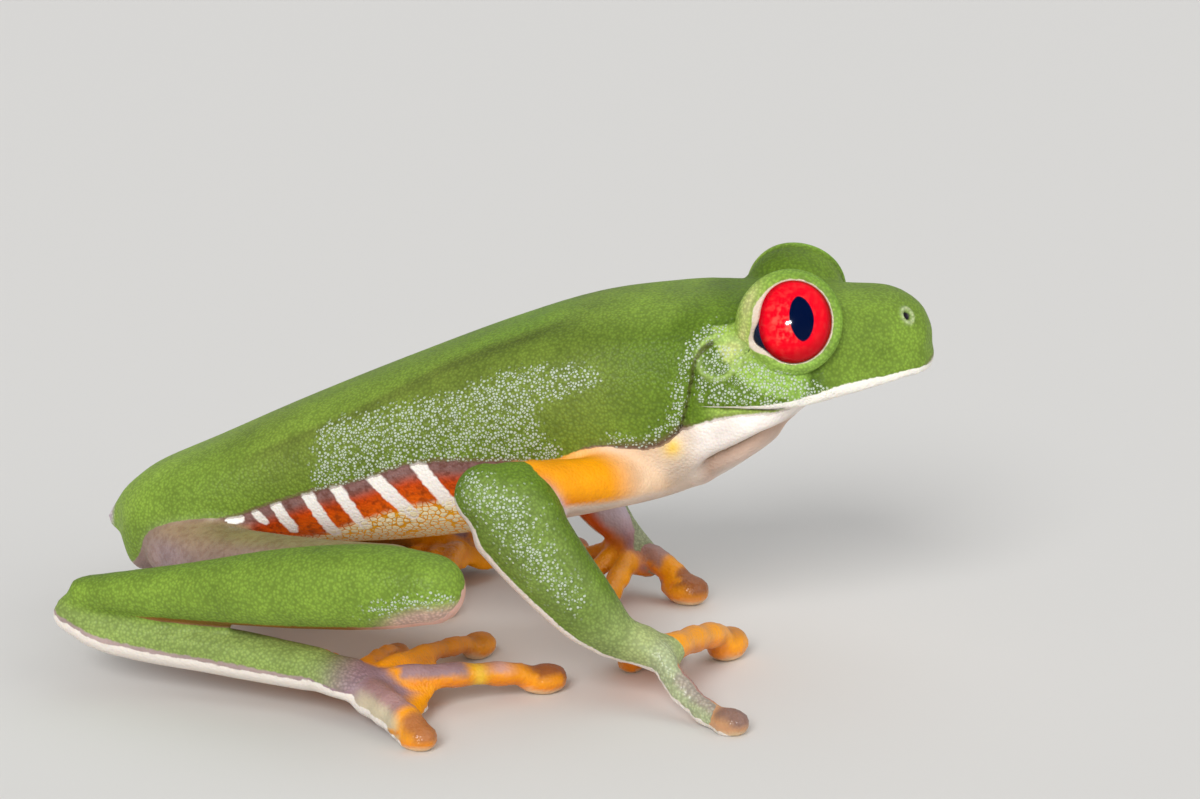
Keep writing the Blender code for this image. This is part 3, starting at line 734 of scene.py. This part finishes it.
# arms: orange inside; the green caps the elbow
for suffix, green_angles in (("l", (4, 90)), ("r", (14, 98))):
    arm, forearm, hand = (f"{name}_{suffix}" for name in ("upper_arm", "forearm", "hand"))
    t, _, rise, _ = where[arm]
    elbow = np.array(LIMBS[forearm][0][:3])
    elbow_cap = 2.9 - np.linalg.norm(skin - elbow, axis=1) - 2.5 * ramp(z, elbow[2] + 0.4, elbow[2] - 1.2)
    greens[arm] = np.maximum((t - 0.89 + 0.13 * ramp(rise, 0.2, 0.85)) * 8, elbow_cap)
    unders[arm] = painted(ORANGE, (DEEP_ORANGE, 0.5 * ramp(rise, 0.0, -0.36) * ramp(t, 0.3, 0.6)),
                          (PEACH, ramp(t, 0.36, 0.12)),
                          (painted(CREAM, (PINK, 0.1)), ramp(rise, -0.36, -0.62)))
    overs[arm] = painted(LEAF)
    t, out, rise, _ = where[forearm]
    greens[forearm] = np.maximum(facing(forearm, *green_angles) + 2 * ramp(t, 0.1, -0.12), elbow_cap)
    unders[forearm] = painted(DEEP_ORANGE, (PALE_LILAC, ramp(rise, -0.5, 0.1) * ramp(t, 0.12, 0.3)),
                              (ORANGE, ramp(t, 0.2, 0.08)))
    overs[forearm] = painted(LEAF, (DULL_LEAF, 0.35 * ramp(out, 0.3, 0.9)),
                             (DULL_LEAF, 0.7 * ramp(t, 0.72, 1.0)))
    # painted glint dots on the outer forearm
    on_outside = ramp(out, 0.1, 0.5) * ramp(t, 0.8, 0.62)
    dots += 1.1 * share[forearm] * bump(rise, 0.08 - 0.1 * t, 0.62 - 0.36 * t) * on_outside
    greens[hand] = facing(hand, 40, 92)
    unders[hand] = painted(ORANGE, (DEEP_ORANGE, 0.5))
    overs[hand] = painted(DULL_LEAF, ("#b6bf84", 0.5))

# the left hand is lilac on its back, and greyer, as the wrist is
(t, *_), (_, out, rise, _) = where["forearm_l"], where["hand_l"]
unders["hand_l"] = painted(unders["hand_l"], ("#8d6f80", 0.8 * ramp(rise, 0.0, 0.6)))
overs["hand_l"] = painted(overs["hand_l"], ("#a0a08c", 0.6))
overs["forearm_l"] = painted(overs["forearm_l"],
                             ("#a3a88e", 0.75 * ramp(out, 0.6, -0.1) * ramp(t, 0.3, 0.6)))

# legs: a bare purplish thigh, green shank and tarsus, a lilac foot
for suffix in "lr":
    thigh, shank, tarsus, foot = (f"{name}_{suffix}" for name in ("thigh", "shank", "tarsus", "foot"))
    t, _, rise, _ = where[thigh]
    greens[thigh] = NO_GREEN
    unders[thigh] = painted(TAN, (SLATE, ramp(t, 0.2, 0.7)),
                            ("#a08a98", 0.6 * bump(t, 0.15, 0.25) * ramp(rise, 0.8, 0.2)),
                            ("#84803f", 0.7 * ramp(rise, 0.6, 0.95) * ramp(t, 0.1, 0.5)),
                            (ORANGE, ramp(rise, -0.7, -0.95)))
    overs[thigh] = painted(DULL_LEAF)
    # a few painted glint dots on the top of the thigh
    dots += 0.06 * share[thigh] * ramp(rise, 0.2, 0.5)
    t, out, rise, _ = where[shank]
    past_knee = np.maximum(t, 0)
    knee_edge = ramp(t, 0.28, 0.1) * ramp(rise + 1.6 * past_knee, -0.1, -0.55)
    greens[shank] = facing(shank, 52, 108)
    unders[shank] = painted(BRONZE, (PINK, ramp(t, 0.35, 0.12)))
    overs[shank] = painted(LEAF, (LIGHT_LEAF, 0.5), (OLIVE_LEAF, 0.25 * ramp(rise, 0.5, 1)),
                           ("#c4a096", 0.9 * knee_edge))
    # painted glint dots along the knee
    on_knee = bump(rise, -0.1 - 1.2 * past_knee, 0.2) * ramp(t, 0.3, 0.14) * ramp(out, 0.2, 0.6)
    dots += 1.2 * share[shank] * on_knee
    greens[tarsus] = facing(tarsus, 66, 76)
    unders[tarsus] = painted(BRONZE, ("#b09a95", ramp(where[tarsus][1], -0.4, 0.2)))
    overs[tarsus] = painted(LIGHT_LEAF, (DULL_LEAF, 0.6))
    t, out, _, _ = where[foot]
    greens[foot] = facing(foot, 60, 68) - 2.5 * ramp(t, 0.3, 0.6)
    unders[foot] = painted(LILAC, (ORANGE, ramp(out, -0.2, -0.5)),
                           (ORANGE, ramp(t, 0.84, 0.98) * ramp(z, 2.2, 1.6)))
    overs[foot] = painted(DULL_LEAF, (LILAC, ramp(t, -0.15, 0.45)))

# digits: each ends in a grip disc with a brown top and a pale lower rim, which is partly its own colour and
# partly a painted highlight of its wet edge
for name in DIGITS:
    t, out, rise, _ = where[name]
    greens[name], overs[name] = NO_GREEN, painted(DULL_LEAF)
    brown = {"4": "#8f5030", "5": "#a8663c"}.get(name.split("_")[1], "#d08418")
    coats = [(DEEP_ORANGE, 0.45 * ramp(rise, 0.2, -0.5))]
    if name == "finger_4_r":
        brown = "#86675f"
        greens[name] = facing(name, 20, 82) - 3 * ramp(t, 0.82, 0.9)
        overs[name] = painted(DULL_LEAF, ("#b7bd9c", 0.6),
                              (LILAC, 0.6 * ramp(rise, 0.25, 0.7) * ramp(t, 0.25, 0.35)))
        coats += [(LILAC, 0.8 * ramp(rise, 0.2, 0.6) * ramp(t, 0.1, 0.3) * ramp(t, 0.8, 0.7)),
                  ("#c09a7c", 0.75 * ramp(t, 0.7, 0.8))]
    elif name == "finger_4_l":
        coats += [(LILAC, 0.8 * ramp(t, 0.55, 0.35) * ramp(rise, -0.2, 0.3))]
    elif name.startswith("toe_4"):
        coats += [(LILAC, 0.95 * ramp(out, -0.9, -0.2) * ramp(t, 0.45, 0.38) * ramp(rise, -0.1, 0.4)),
                  (YELLOW, 0.9 * bump(t, 0.5, 0.05)),
                  ("#d3a6a0", 0.85 * bump(t, 0.66, 0.09) * ramp(rise, 0.1, 0.5))]
    elif name.startswith("toe_5"):
        coats += [(LILAC, 0.9 * ramp(t, 0.84, 0.66)),
                  ("#dcd7ac", 0.6 * ramp(out, 0.6, 0.95) * ramp(t, 0.95, 0.75))]
    disc_top = ramp(t, 0.8, 0.94) * ramp(rise, -0.4, 0.25) * ramp(np.abs(out), 1.05, 0.65)
    disc_rim_highlight = ramp(t, 0.8, 0.9) * ramp(rise, -0.3, -0.7)
    unders[name] = painted(ORANGE, *coats, (brown, 0.9 * disc_top), ("#f2deb4", 0.7 * disc_rim_highlight))

# what the parts share where they meet; the webs between the digits are orange
green = sum(share[name] * greens[name] for name in parts)
under, over = (sum(share[name][:, None] * colours[name] for name in parts) for colours in (unders, overs))
between = sum(share[name] * (where[name][0] < 0.8) for name in DIGITS)
for foot in ("foot_l", "foot_r"):
    t, _, rise, _ = where[foot]
    between += share[foot] * ramp(t, 0.5, 0.7) * ramp(rise, 0.4, 0.0)
under = painted(under, (ORANGE, between * ramp(gaps.min(1), 0.12, 0.25)))

# lip stripe, pale bars, edging, and painted shade along the creases of the mouth, ear fold and throat fold
lip_width = np.interp(x, (13.0, 14.1, 15.8, 17.7, 19.0, 20.4, 22.2, 24.0, 25.7, 29.0),
                      (0.02, 0.05, 0.15, 0.34, 0.55, 0.76, 0.86, 0.72, 0.56, 0.42))
# x and z of the upper end, at the green's edge, x and z of the lower end, and width of each pale bar
BARS = [(-17.9, 9.75, -17.2, 9.85, 0.5), (-16.15, 10.25, -15.6, 9.7, 0.6), (-14.8, 11.0, -13.8, 9.2, 0.8),
        (-12.6, 11.8, -11.0, 8.9, 0.85), (-10.7, 12.5, -8.9, 9.6, 0.85), (-8.2, 13.3, -5.6, 10.7, 1.0),
        (-5.1, 14.2, -3.1, 11.6, 0.95)]
bars = np.full(len(skin), -2.0)
for *ends, bar_width in BARS:
    bar_gap, _, _ = from_line(x, z, [ends[:2], ends[2:]])
    bars = np.maximum(bars, bar_width / 2 - bar_gap)
# painted shade: a dark line along the ear fold, the throat fold and the mouth slit, where the folds fall into
# shadow
crease = np.minimum(fold_gap + 3 * (1 - fold_here), throat_gap + 0.04 + 3 * (1 - throat_here))
crease = np.minimum(crease, np.abs(over_mouth + 0.1) + 3 * (1 - mouth_here) + ramp(x, 18.5, 20))


def store(mesh, kind, **marks):
    """Keeps a value, or a colour, at each point of a mesh for its material to read."""
    for name, values in marks.items():
        made = mesh.attributes.new(name, kind, "POINT")
        made.data.foreach_set("value" if kind == "FLOAT" else "color", values.astype(np.float32).ravel())


opaque = np.ones((len(skin), 1))
store(skin_mesh, "FLOAT_COLOR", **{name: np.hstack([np.clip(colour, 0, 1), opaque])
                                   for name, colour in (("under", under), ("over", over))})
store(skin_mesh, "FLOAT", green=green, fringe=fringe, dots=dots, crease=crease, margin=margin,
      nostril=nostril_gap, moist=sum(share[name] for name in DIGITS),
      lip=(z - np.interp(x, *np.array(MOUTH).T)) / lip_width, lip_here=ramp(x, 13.2, 14.2),
      bars=np.where(on_flank * share["body"] > 0.2, bars, -2.0),
      grain=share["body"] * on_flank * ramp(z, yolk_top + 0.5, yolk_top - 0.2) * ramp(aside, 2, 4),
      edging=share["body"] * (ramp(x, 5.0, 6.2) * ramp(x, 13.5, 12) + 0.7 * on_flank + 0.4 * ramp(x, 13, 14)),
      murky=share["body"] * on_flank * (greens["body"] < 0.2) + 0.45 * (share["thigh_l"] + share["thigh_r"]))


# Moist frog skin: thin, finely granular and wet with mucus, so it is soft-edged in colour, pebbled at a fifth
# of a millimetre, and shines in small glints, most on the digits; pale dots on its granules are painted
# glints.
def node(tree, kind, inputs=None, **settings):
    """Adds a shader node: settings are its own properties, and inputs gives a socket a value, another node's
    output, or another node, which stands for its first live output."""
    made = tree.nodes.new("ShaderNode" + kind)
    for name, value in settings.items():
        setattr(made, name, value)
    for key, value in (inputs or {}).items():
        if isinstance(value, bpy.types.Node):
            value = next(output for output in value.outputs if output.enabled)
        if isinstance(value, bpy.types.NodeSocket):
            tree.links.new(value, made.inputs[key])
        else:
            made.inputs[key].default_value = value
    return made


def new_material(name):
    """An empty material and its tree."""
    made = bpy.data.materials.new(name)
    made.use_nodes = True
    made.node_tree.nodes.clear()
    return made, made.node_tree


def rgba(code):
    return (*linear(code), 1)


moist_skin, tree = new_material("moist_granular_skin")
place = node(tree, "TexCoord").outputs["Object"]
read = {name: node(tree, "Attribute", attribute_name=name).outputs["Fac"]
        for name in ("green", "fringe", "dots", "crease", "margin", "nostril", "moist", "lip", "lip_here",
                     "bars", "grain", "edging", "murky")}
under, over = (node(tree, "Attribute", attribute_name=name).outputs["Color"]
               for name in ("under", "over"))
# pebbles at 0.2 mm, granules with pale painted glints at 0.21 mm, belly knobs at 0.45 mm, clouds at 2.4 mm
pebble = node(tree, "TexVoronoi", {"Vector": place, "Scale": 5000.0})
(gland, glint_granule_edge), (knob, knob_edge) = (
    [node(tree, "TexVoronoi", {"Vector": place, "Scale": scale, "Randomness": 0.9}, feature=feature)
     for feature in ("F1", "DISTANCE_TO_EDGE")] for scale in (4800.0, 2300.0))
cloud = node(tree, "TexNoise", {"Vector": place, "Scale": 420.0, "Detail": 4.0})
blotch, shade, gloss = (
    node(tree, "MapRange", {"Value": cloud, "From Min": 0.3, "From Max": 0.7, "To Min": low, "To Max": high})
    for low, high in ((0.82, 1.12), (0.84, 1.14), (0.46, 0.62)))
stipple = node(tree, "MapRange", {"Value": pebble, "From Min": 0.15, "From Max": 0.7,
                                            "To Min": 1.26, "To Max": 0.82})

# ragged edges wander by 0.1 mm over 0.5 mm
ragged = node(tree, "TexNoise", {"Vector": place, "Scale": 2200.0, "Detail": 3.0})
wander = node(tree, "Math", {0: ragged, 1: 0.35, 2: -0.175}, operation="MULTIPLY_ADD")
edge = {name: node(tree, "Math", {0: wander, 1: part, 2: read[name]}, operation="MULTIPLY_ADD")
        for name, part in (("green", 1.0), ("bars", 1.0), ("fringe", 1.0), ("lip", 1.0), ("margin", 0.5))}

# soft steps, from nothing at the first value to full at the second
mask = {name: node(tree, "MapRange", {"Value": value, "From Min": none, "From Max": full},
                   interpolation_type="SMOOTHSTEP")
        for name, value, none, full in (
            ("green", edge["green"], -0.06, 0.10), ("bars", edge["bars"], -0.08, 0.08),
            ("fringe", edge["fringe"], 0.45, 0.65), ("margin", edge["margin"], -0.05, 0.04),
            ("over_lip_foot", read["lip"], -0.35, -0.1), ("under_lip_top", edge["lip"], 1.05, 0.9),
            ("crease", read["crease"], 0.16, 0.04), ("nostril", read["nostril"], 0.32, 0.24),
            ("inside_knob", knob_edge, 0.03, 0.11), ("round_knob", knob, 0.74, 0.6),
            ("inside_gland", glint_granule_edge, 0.06, 0.16), ("round_gland", gland, 0.56, 0.38))}
mask["murk"] = node(tree, "MapRange", {"Value": ragged, "From Min": 0.46, "From Max": 0.62})
mask["off_yolk"] = node(tree, "Math", {0: 1.0, 1: read["grain"]}, operation="SUBTRACT")
# the brown-purple edging of the green is 0.3 mm wide
mask["rim"] = node(tree, "Math", {0: edge["green"], 1: 0.04, 2: 0.16}, operation="COMPARE")
# a granule takes a pale painted glint where its own random number is under the glint dots' density
chance = node(tree, "SeparateColor", {0: gland.outputs["Color"]})
shown = node(tree, "Math", {0: read["dots"], 1: chance}, operation="SUBTRACT")
mask["shown"] = node(tree, "MapRange", {"Value": shown, "From Min": 0.0, "From Max": 0.3})
for name, first, *factors in (
        ("murk", "murk", read["murky"], 0.5, "off_yolk"), ("rim", "rim", read["edging"], 0.75),
        ("knobs", "inside_knob", "round_knob", read["grain"]), ("crease", "crease", 0.7),
        ("gland", "inside_gland", "round_gland", "shown", "green"), ("white", "gland", 0.85),
        ("lip", "over_lip_foot", "under_lip_top", read["lip_here"])):
    product = mask[first]
    for factor in factors:
        factor = mask[factor] if isinstance(factor, str) else factor
        product = node(tree, "Math", {0: product, 1: factor}, operation="MULTIPLY")
    mask[name] = product

# the under skin is clouded, a little blotched, barred and knobbed; the green is stippled lighter on each
# granule; then come the fringe, edging, painted glints on the granules, lip stripe, margin of the lids, and
# painted shade in the creases and nostril pits
under = node(tree, "VectorMath", {0: under, 3: blotch}, operation="SCALE")
for name, code in (("murk", "#5f2710"), ("bars", "#fffaf2"), ("knobs", "#fff6cc")):
    under = node(tree, "Mix", {0: mask[name], 6: under, 7: rgba(code)}, data_type="RGBA")
for factor in (stipple, shade):
    over = node(tree, "VectorMath", {0: over, 3: factor}, operation="SCALE")
colour = node(tree, "Mix", {0: mask["green"], 6: under, 7: over}, data_type="RGBA")
# the dark of the creases and of the nostril pits is painted shade
for name, code in (("fringe", "#eee4da"), ("rim", EDGE_BROWN), ("white", "#c6d0bf"), ("lip", "#fbf5ea"),
                   ("margin", "#dccdb9"), ("crease", "#47401f"), ("nostril", "#231a26")):
    colour = node(tree, "Mix", {0: mask[name], 6: colour, 7: rgba(code)}, data_type="RGBA")

pebbled = node(tree, "Math", {0: pebble, 1: -1.0}, operation="MULTIPLY")
raised = node(tree, "Math", {0: mask["gland"], 1: mask["knobs"]}, operation="ADD")
fine = node(tree, "Bump", {"Height": pebbled, "Strength": 0.8, "Distance": 0.00005})
grainy = node(tree, "Bump", {"Height": raised, "Normal": fine, "Strength": 0.6, "Distance": 0.00005})
mucus = node(tree, "Math", {0: read["moist"], 1: 0.55, 2: 0.07}, operation="MULTIPLY_ADD")
shader = node(tree, "BsdfPrincipled", {
    "Base Color": colour, "Roughness": gloss, "Normal": grainy, "Specular IOR Level": 0.15,
    "Coat Weight": mucus, "Coat Roughness": 0.2, "Coat Normal": grainy, "Subsurface Weight": 0.12,
    "Subsurface Radius": (1.0, 0.6, 0.3), "Subsurface Scale": 0.0005})
node(tree, "OutputMaterial", {"Surface": shader})


def shade_smooth(mesh):
    mesh.polygons.foreach_set("use_smooth", np.ones(len(mesh.polygons), bool))


skin_mesh.vertices.foreach_set("co", (skin * MM).astype(np.float32).ravel())
skin_mesh.update()
shade_smooth(skin_mesh)
hide = placed("skin", skin_mesh)
skin_mesh.materials.clear()
skin_mesh.materials.append(moist_skin)
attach(hide, "root")
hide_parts(*[name for name in frame["nodes"] if not name.startswith("eye")])


# Eyes. A red iris with a slit pupil sits under a clear wet cornea; a dark band of eyeball shows only at
# the rear corner of the lids.
IRIS_SUNK, IRIS_GAP = 0.32, 0.05
# half width and half height of the pupil, its place forward and up on the iris, and its lean
PUPIL, PUPIL_PLACE, PUPIL_LEAN = (0.80, 1.44), (0.35, 0.11), math.radians(8)


def eye_surface(name, suffix, sunk, gap, rings=90, sides=120):
    """A ball about the gaze, a gap inside the eye's radius and sunk over the iris by an S of the angle off
    the gaze. Returns its mesh and, of each point, the angle off the gaze, the angle round it and the offsets
    across it."""
    centre, radius = EYES[suffix]
    _, forward, above = eye_turn(np.zeros((1, 3)), suffix)
    angle = (np.arange(rings) + 0.5) / rings * 180
    turns = np.arange(sides) * 2 * math.pi / sides
    tilt = np.radians(angle)[:, None]
    a, b = np.sin(tilt) * np.cos(turns), np.sin(tilt) * np.sin(turns)
    far = (radius - gap - sunk * (1 - ramp(angle, 20, 62)))[:, None]
    shape = centre + far[..., None] * (np.cos(tilt)[..., None] * GAZE[suffix] + a[..., None] * forward
                                       + b[..., None] * above)
    points, faces = closed_rings(shape, centre + GAZE[suffix] * far[0], centre - GAZE[suffix] * far[-1])
    made = bpy.data.meshes.new(name)
    made.from_pydata(points * MM, [], faces)
    face_outwards(made)
    shade_smooth(made)
    angles, round_it, fore, rise = (
        np.append(values, poles) for values, poles in (
            (np.repeat(angle, sides), (0, 180)), (np.tile(turns, rings), (0, 0)), (a * far, (0, 0)),
            (b * far, (0, 0))))
    return made, angles, round_it, fore, rise


iris_red, tree = new_material("red_iris")
read = {name: node(tree, "Attribute", attribute_name=name).outputs["Fac"]
        for name in ("past_iris", "pupil", "sheen")}
place = node(tree, "TexCoord").outputs["Object"]
# pink flecks, faint all over the iris and strong behind and below the pupil, where they are a painted
# highlight
fleck = node(tree, "TexNoise", {"Vector": place, "Scale": 2600.0, "Detail": 4.0})
light = node(tree, "MapRange", {"Value": fleck, "From Min": 0.48, "From Max": 0.66})
light = node(tree, "Math", {0: light, 1: read["sheen"]}, operation="MULTIPLY")
ragged = node(tree, "Math", {0: fleck, 1: 0.06, 2: -0.03}, operation="MULTIPLY_ADD")
pupil_edge = node(tree, "Math", {0: read["pupil"], 1: ragged}, operation="ADD")
rim, rear, slit = (
    node(tree, "MapRange", {"Value": value, "From Min": none, "From Max": full},
         interpolation_type="SMOOTHSTEP")
    for value, none, full in ((read["past_iris"], -12.0, -1.0), (read["past_iris"], -0.8, 0.6),
                              (pupil_edge, 1.03, 0.97)))
rim = node(tree, "Math", {0: rim, 1: 0.7}, operation="MULTIPLY")
red = rgba("#fa0a24")
for amount, code in ((light, "#ff7260"), (rim, "#8e0010"), (rear, "#1b2440"), (slit, "#010e33")):
    red = node(tree, "Mix", {0: amount, 6: red, 7: rgba(code)}, data_type="RGBA")
shader = node(tree, "BsdfPrincipled", {"Base Color": red, "Roughness": 0.5, "Specular IOR Level": 0.0})
node(tree, "OutputMaterial", {"Surface": shader})

clear_cornea, tree = new_material("clear_cornea")
clear = node(tree, "BsdfTransparent")
wet = node(tree, "BsdfGlossy", {"Roughness": 0.1})
fresnel = node(tree, "Fresnel", {"IOR": 1.18})
both = node(tree, "MixShader", {0: fresnel, 1: clear, 2: wet})
node(tree, "OutputMaterial", {"Surface": both})

corneas = bpy.data.collections.new("corneas")
for suffix in EYES:
    ball_mesh, angle, turn, fore, rise = eye_surface(f"eyeball_{suffix}", suffix, IRIS_SUNK, IRIS_GAP)
    fore, rise = fore - PUPIL_PLACE[0], rise - PUPIL_PLACE[1]
    lean_a = fore * math.cos(PUPIL_LEAN) + rise * math.sin(PUPIL_LEAN)
    lean_b = rise * math.cos(PUPIL_LEAN) - fore * math.sin(PUPIL_LEAN)
    pupil = ((np.abs(lean_a) / PUPIL[0]) ** 1.8 + (np.abs(lean_b) / PUPIL[1]) ** 1.8) ** (1 / 1.8)
    # where the flecks are painted as a highlight: behind and below the pupil
    sheen = 0.15 + 0.6 * bump(angle, 22, 16) * (round_eye(turn, 190, 60) + round_eye(turn, 250, 30))
    past_iris = angle - iris_opening(turn) + 1.2 * round_eye(turn, 270, 50)
    store(ball_mesh, "FLOAT", past_iris=past_iris, pupil=np.where(angle < 90, pupil, 9.0), sheen=sheen)
    ball_mesh.materials.append(iris_red)
    eyeball = placed(f"eyeball_{suffix}", ball_mesh)
    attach(eyeball, "root")
    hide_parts(f"eye_{suffix}")
    cornea_mesh = eye_surface(f"cornea_{suffix}", suffix, 0.0, 0.0)[0]
    cornea_mesh.materials.append(clear_cornea)
    cornea = placed(f"cornea_{suffix}", cornea_mesh)
    corneas.objects.link(cornea)
    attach(cornea, "root")


# Studio. A pale paper floor and soft lights, which leave out the corneas: a broad key from the camera's side,
# a fill from the front and a weaker light from above. Two small lamps light only the corneas, as the glints.
FLOOR_REACH = 4
FLOOR_CORNERS = [(-1, -1), (1, -1), (1, 1), (-1, 1)]
floor_mesh = bpy.data.meshes.new("studio_floor")
floor_mesh.from_pydata([(a * FLOOR_REACH, b * FLOOR_REACH, 0) for a, b in FLOOR_CORNERS], [], [(0, 1, 2, 3)])
floor = placed("studio_floor", floor_mesh)
paper, tree = new_material("pale_paper")
shader = node(tree, "BsdfPrincipled", {"Base Color": rgba("#dedcd8"), "Roughness": 0.9})
node(tree, "OutputMaterial", {"Surface": shader})
floor_mesh.materials.append(paper)


def direction(turn, pitch):
    """The unit vector towards a place: degrees round from the frog's right side, and degrees up."""
    turn, pitch = math.radians(turn), math.radians(pitch)
    return np.array((math.sin(turn) * math.cos(pitch), -math.cos(turn) * math.cos(pitch), math.sin(pitch)))


def look_along(place, back):
    """The turn and place of a lamp or camera whose view is along minus back, with its sides level."""
    right = np.cross((0, 0, 1), back)
    right /= np.linalg.norm(right)
    rows = [[*row, at] for row, at in zip(np.column_stack([right, np.cross(back, right), back]), place)]
    return mathutils.Matrix(rows + [[0, 0, 0, 1]])


dry = bpy.data.collections.new("all_but_corneas")
for cornea in corneas.objects:
    dry.objects.link(cornea)
for entry in dry.collection_objects:
    entry.light_linking.link_state = "EXCLUDE"
# turn, height, light's own size (degrees for a sun, metres for a lamp), strength, and what it lights
GLINT_REACH = 0.25
for name, kind, turn, pitch, size, strength, lit in (
        ("key", "SUN", -8, 30, 24, 2.2, dry), ("fill", "SUN", 65, 30, 50, 0.7, dry),
        ("top", "SUN", 150, 65, 60, 0.5, dry),
        ("glint_1", "AREA", -5, 9, 0.03, 2.0, corneas), ("glint_2", "AREA", 1.5, 12, 0.03, 1.6, corneas)):
    lamp = bpy.data.lights.new(name, kind)
    lamp.energy = strength
    back = direction(turn, pitch)
    if kind == "SUN":
        lamp.angle = math.radians(size)
        at = back
    else:
        lamp.shape, lamp.size = "DISK", size
        at = EYES["r"][0] * MM + back * GLINT_REACH
    made = placed(name, lamp)
    made.matrix_world = look_along(at, back)
    made.light_linking.receiver_collection = lit
world = bpy.data.worlds.new("studio")
world.use_nodes = True
world.node_tree.nodes["Background"].inputs["Color"].default_value = (0.94, 0.96, 1, 1)
world.node_tree.nodes["Background"].inputs["Strength"].default_value = 0.36
bpy.context.scene.world = world
bpy.context.scene.view_settings.view_transform = "Standard"

CAMERA_AIM, CAMERA_DISTANCE = np.array((0.0061, 0, 0.0172)), 0.185
back = direction(6, 12.5)
lens = bpy.data.cameras.new("camera")
lens.lens, lens.sensor_width, lens.clip_start = 83.3, 36, 0.005
camera = placed("camera", lens)
camera.matrix_world = look_along(CAMERA_AIM + back * CAMERA_DISTANCE, back)
bpy.context.scene.camera = camera
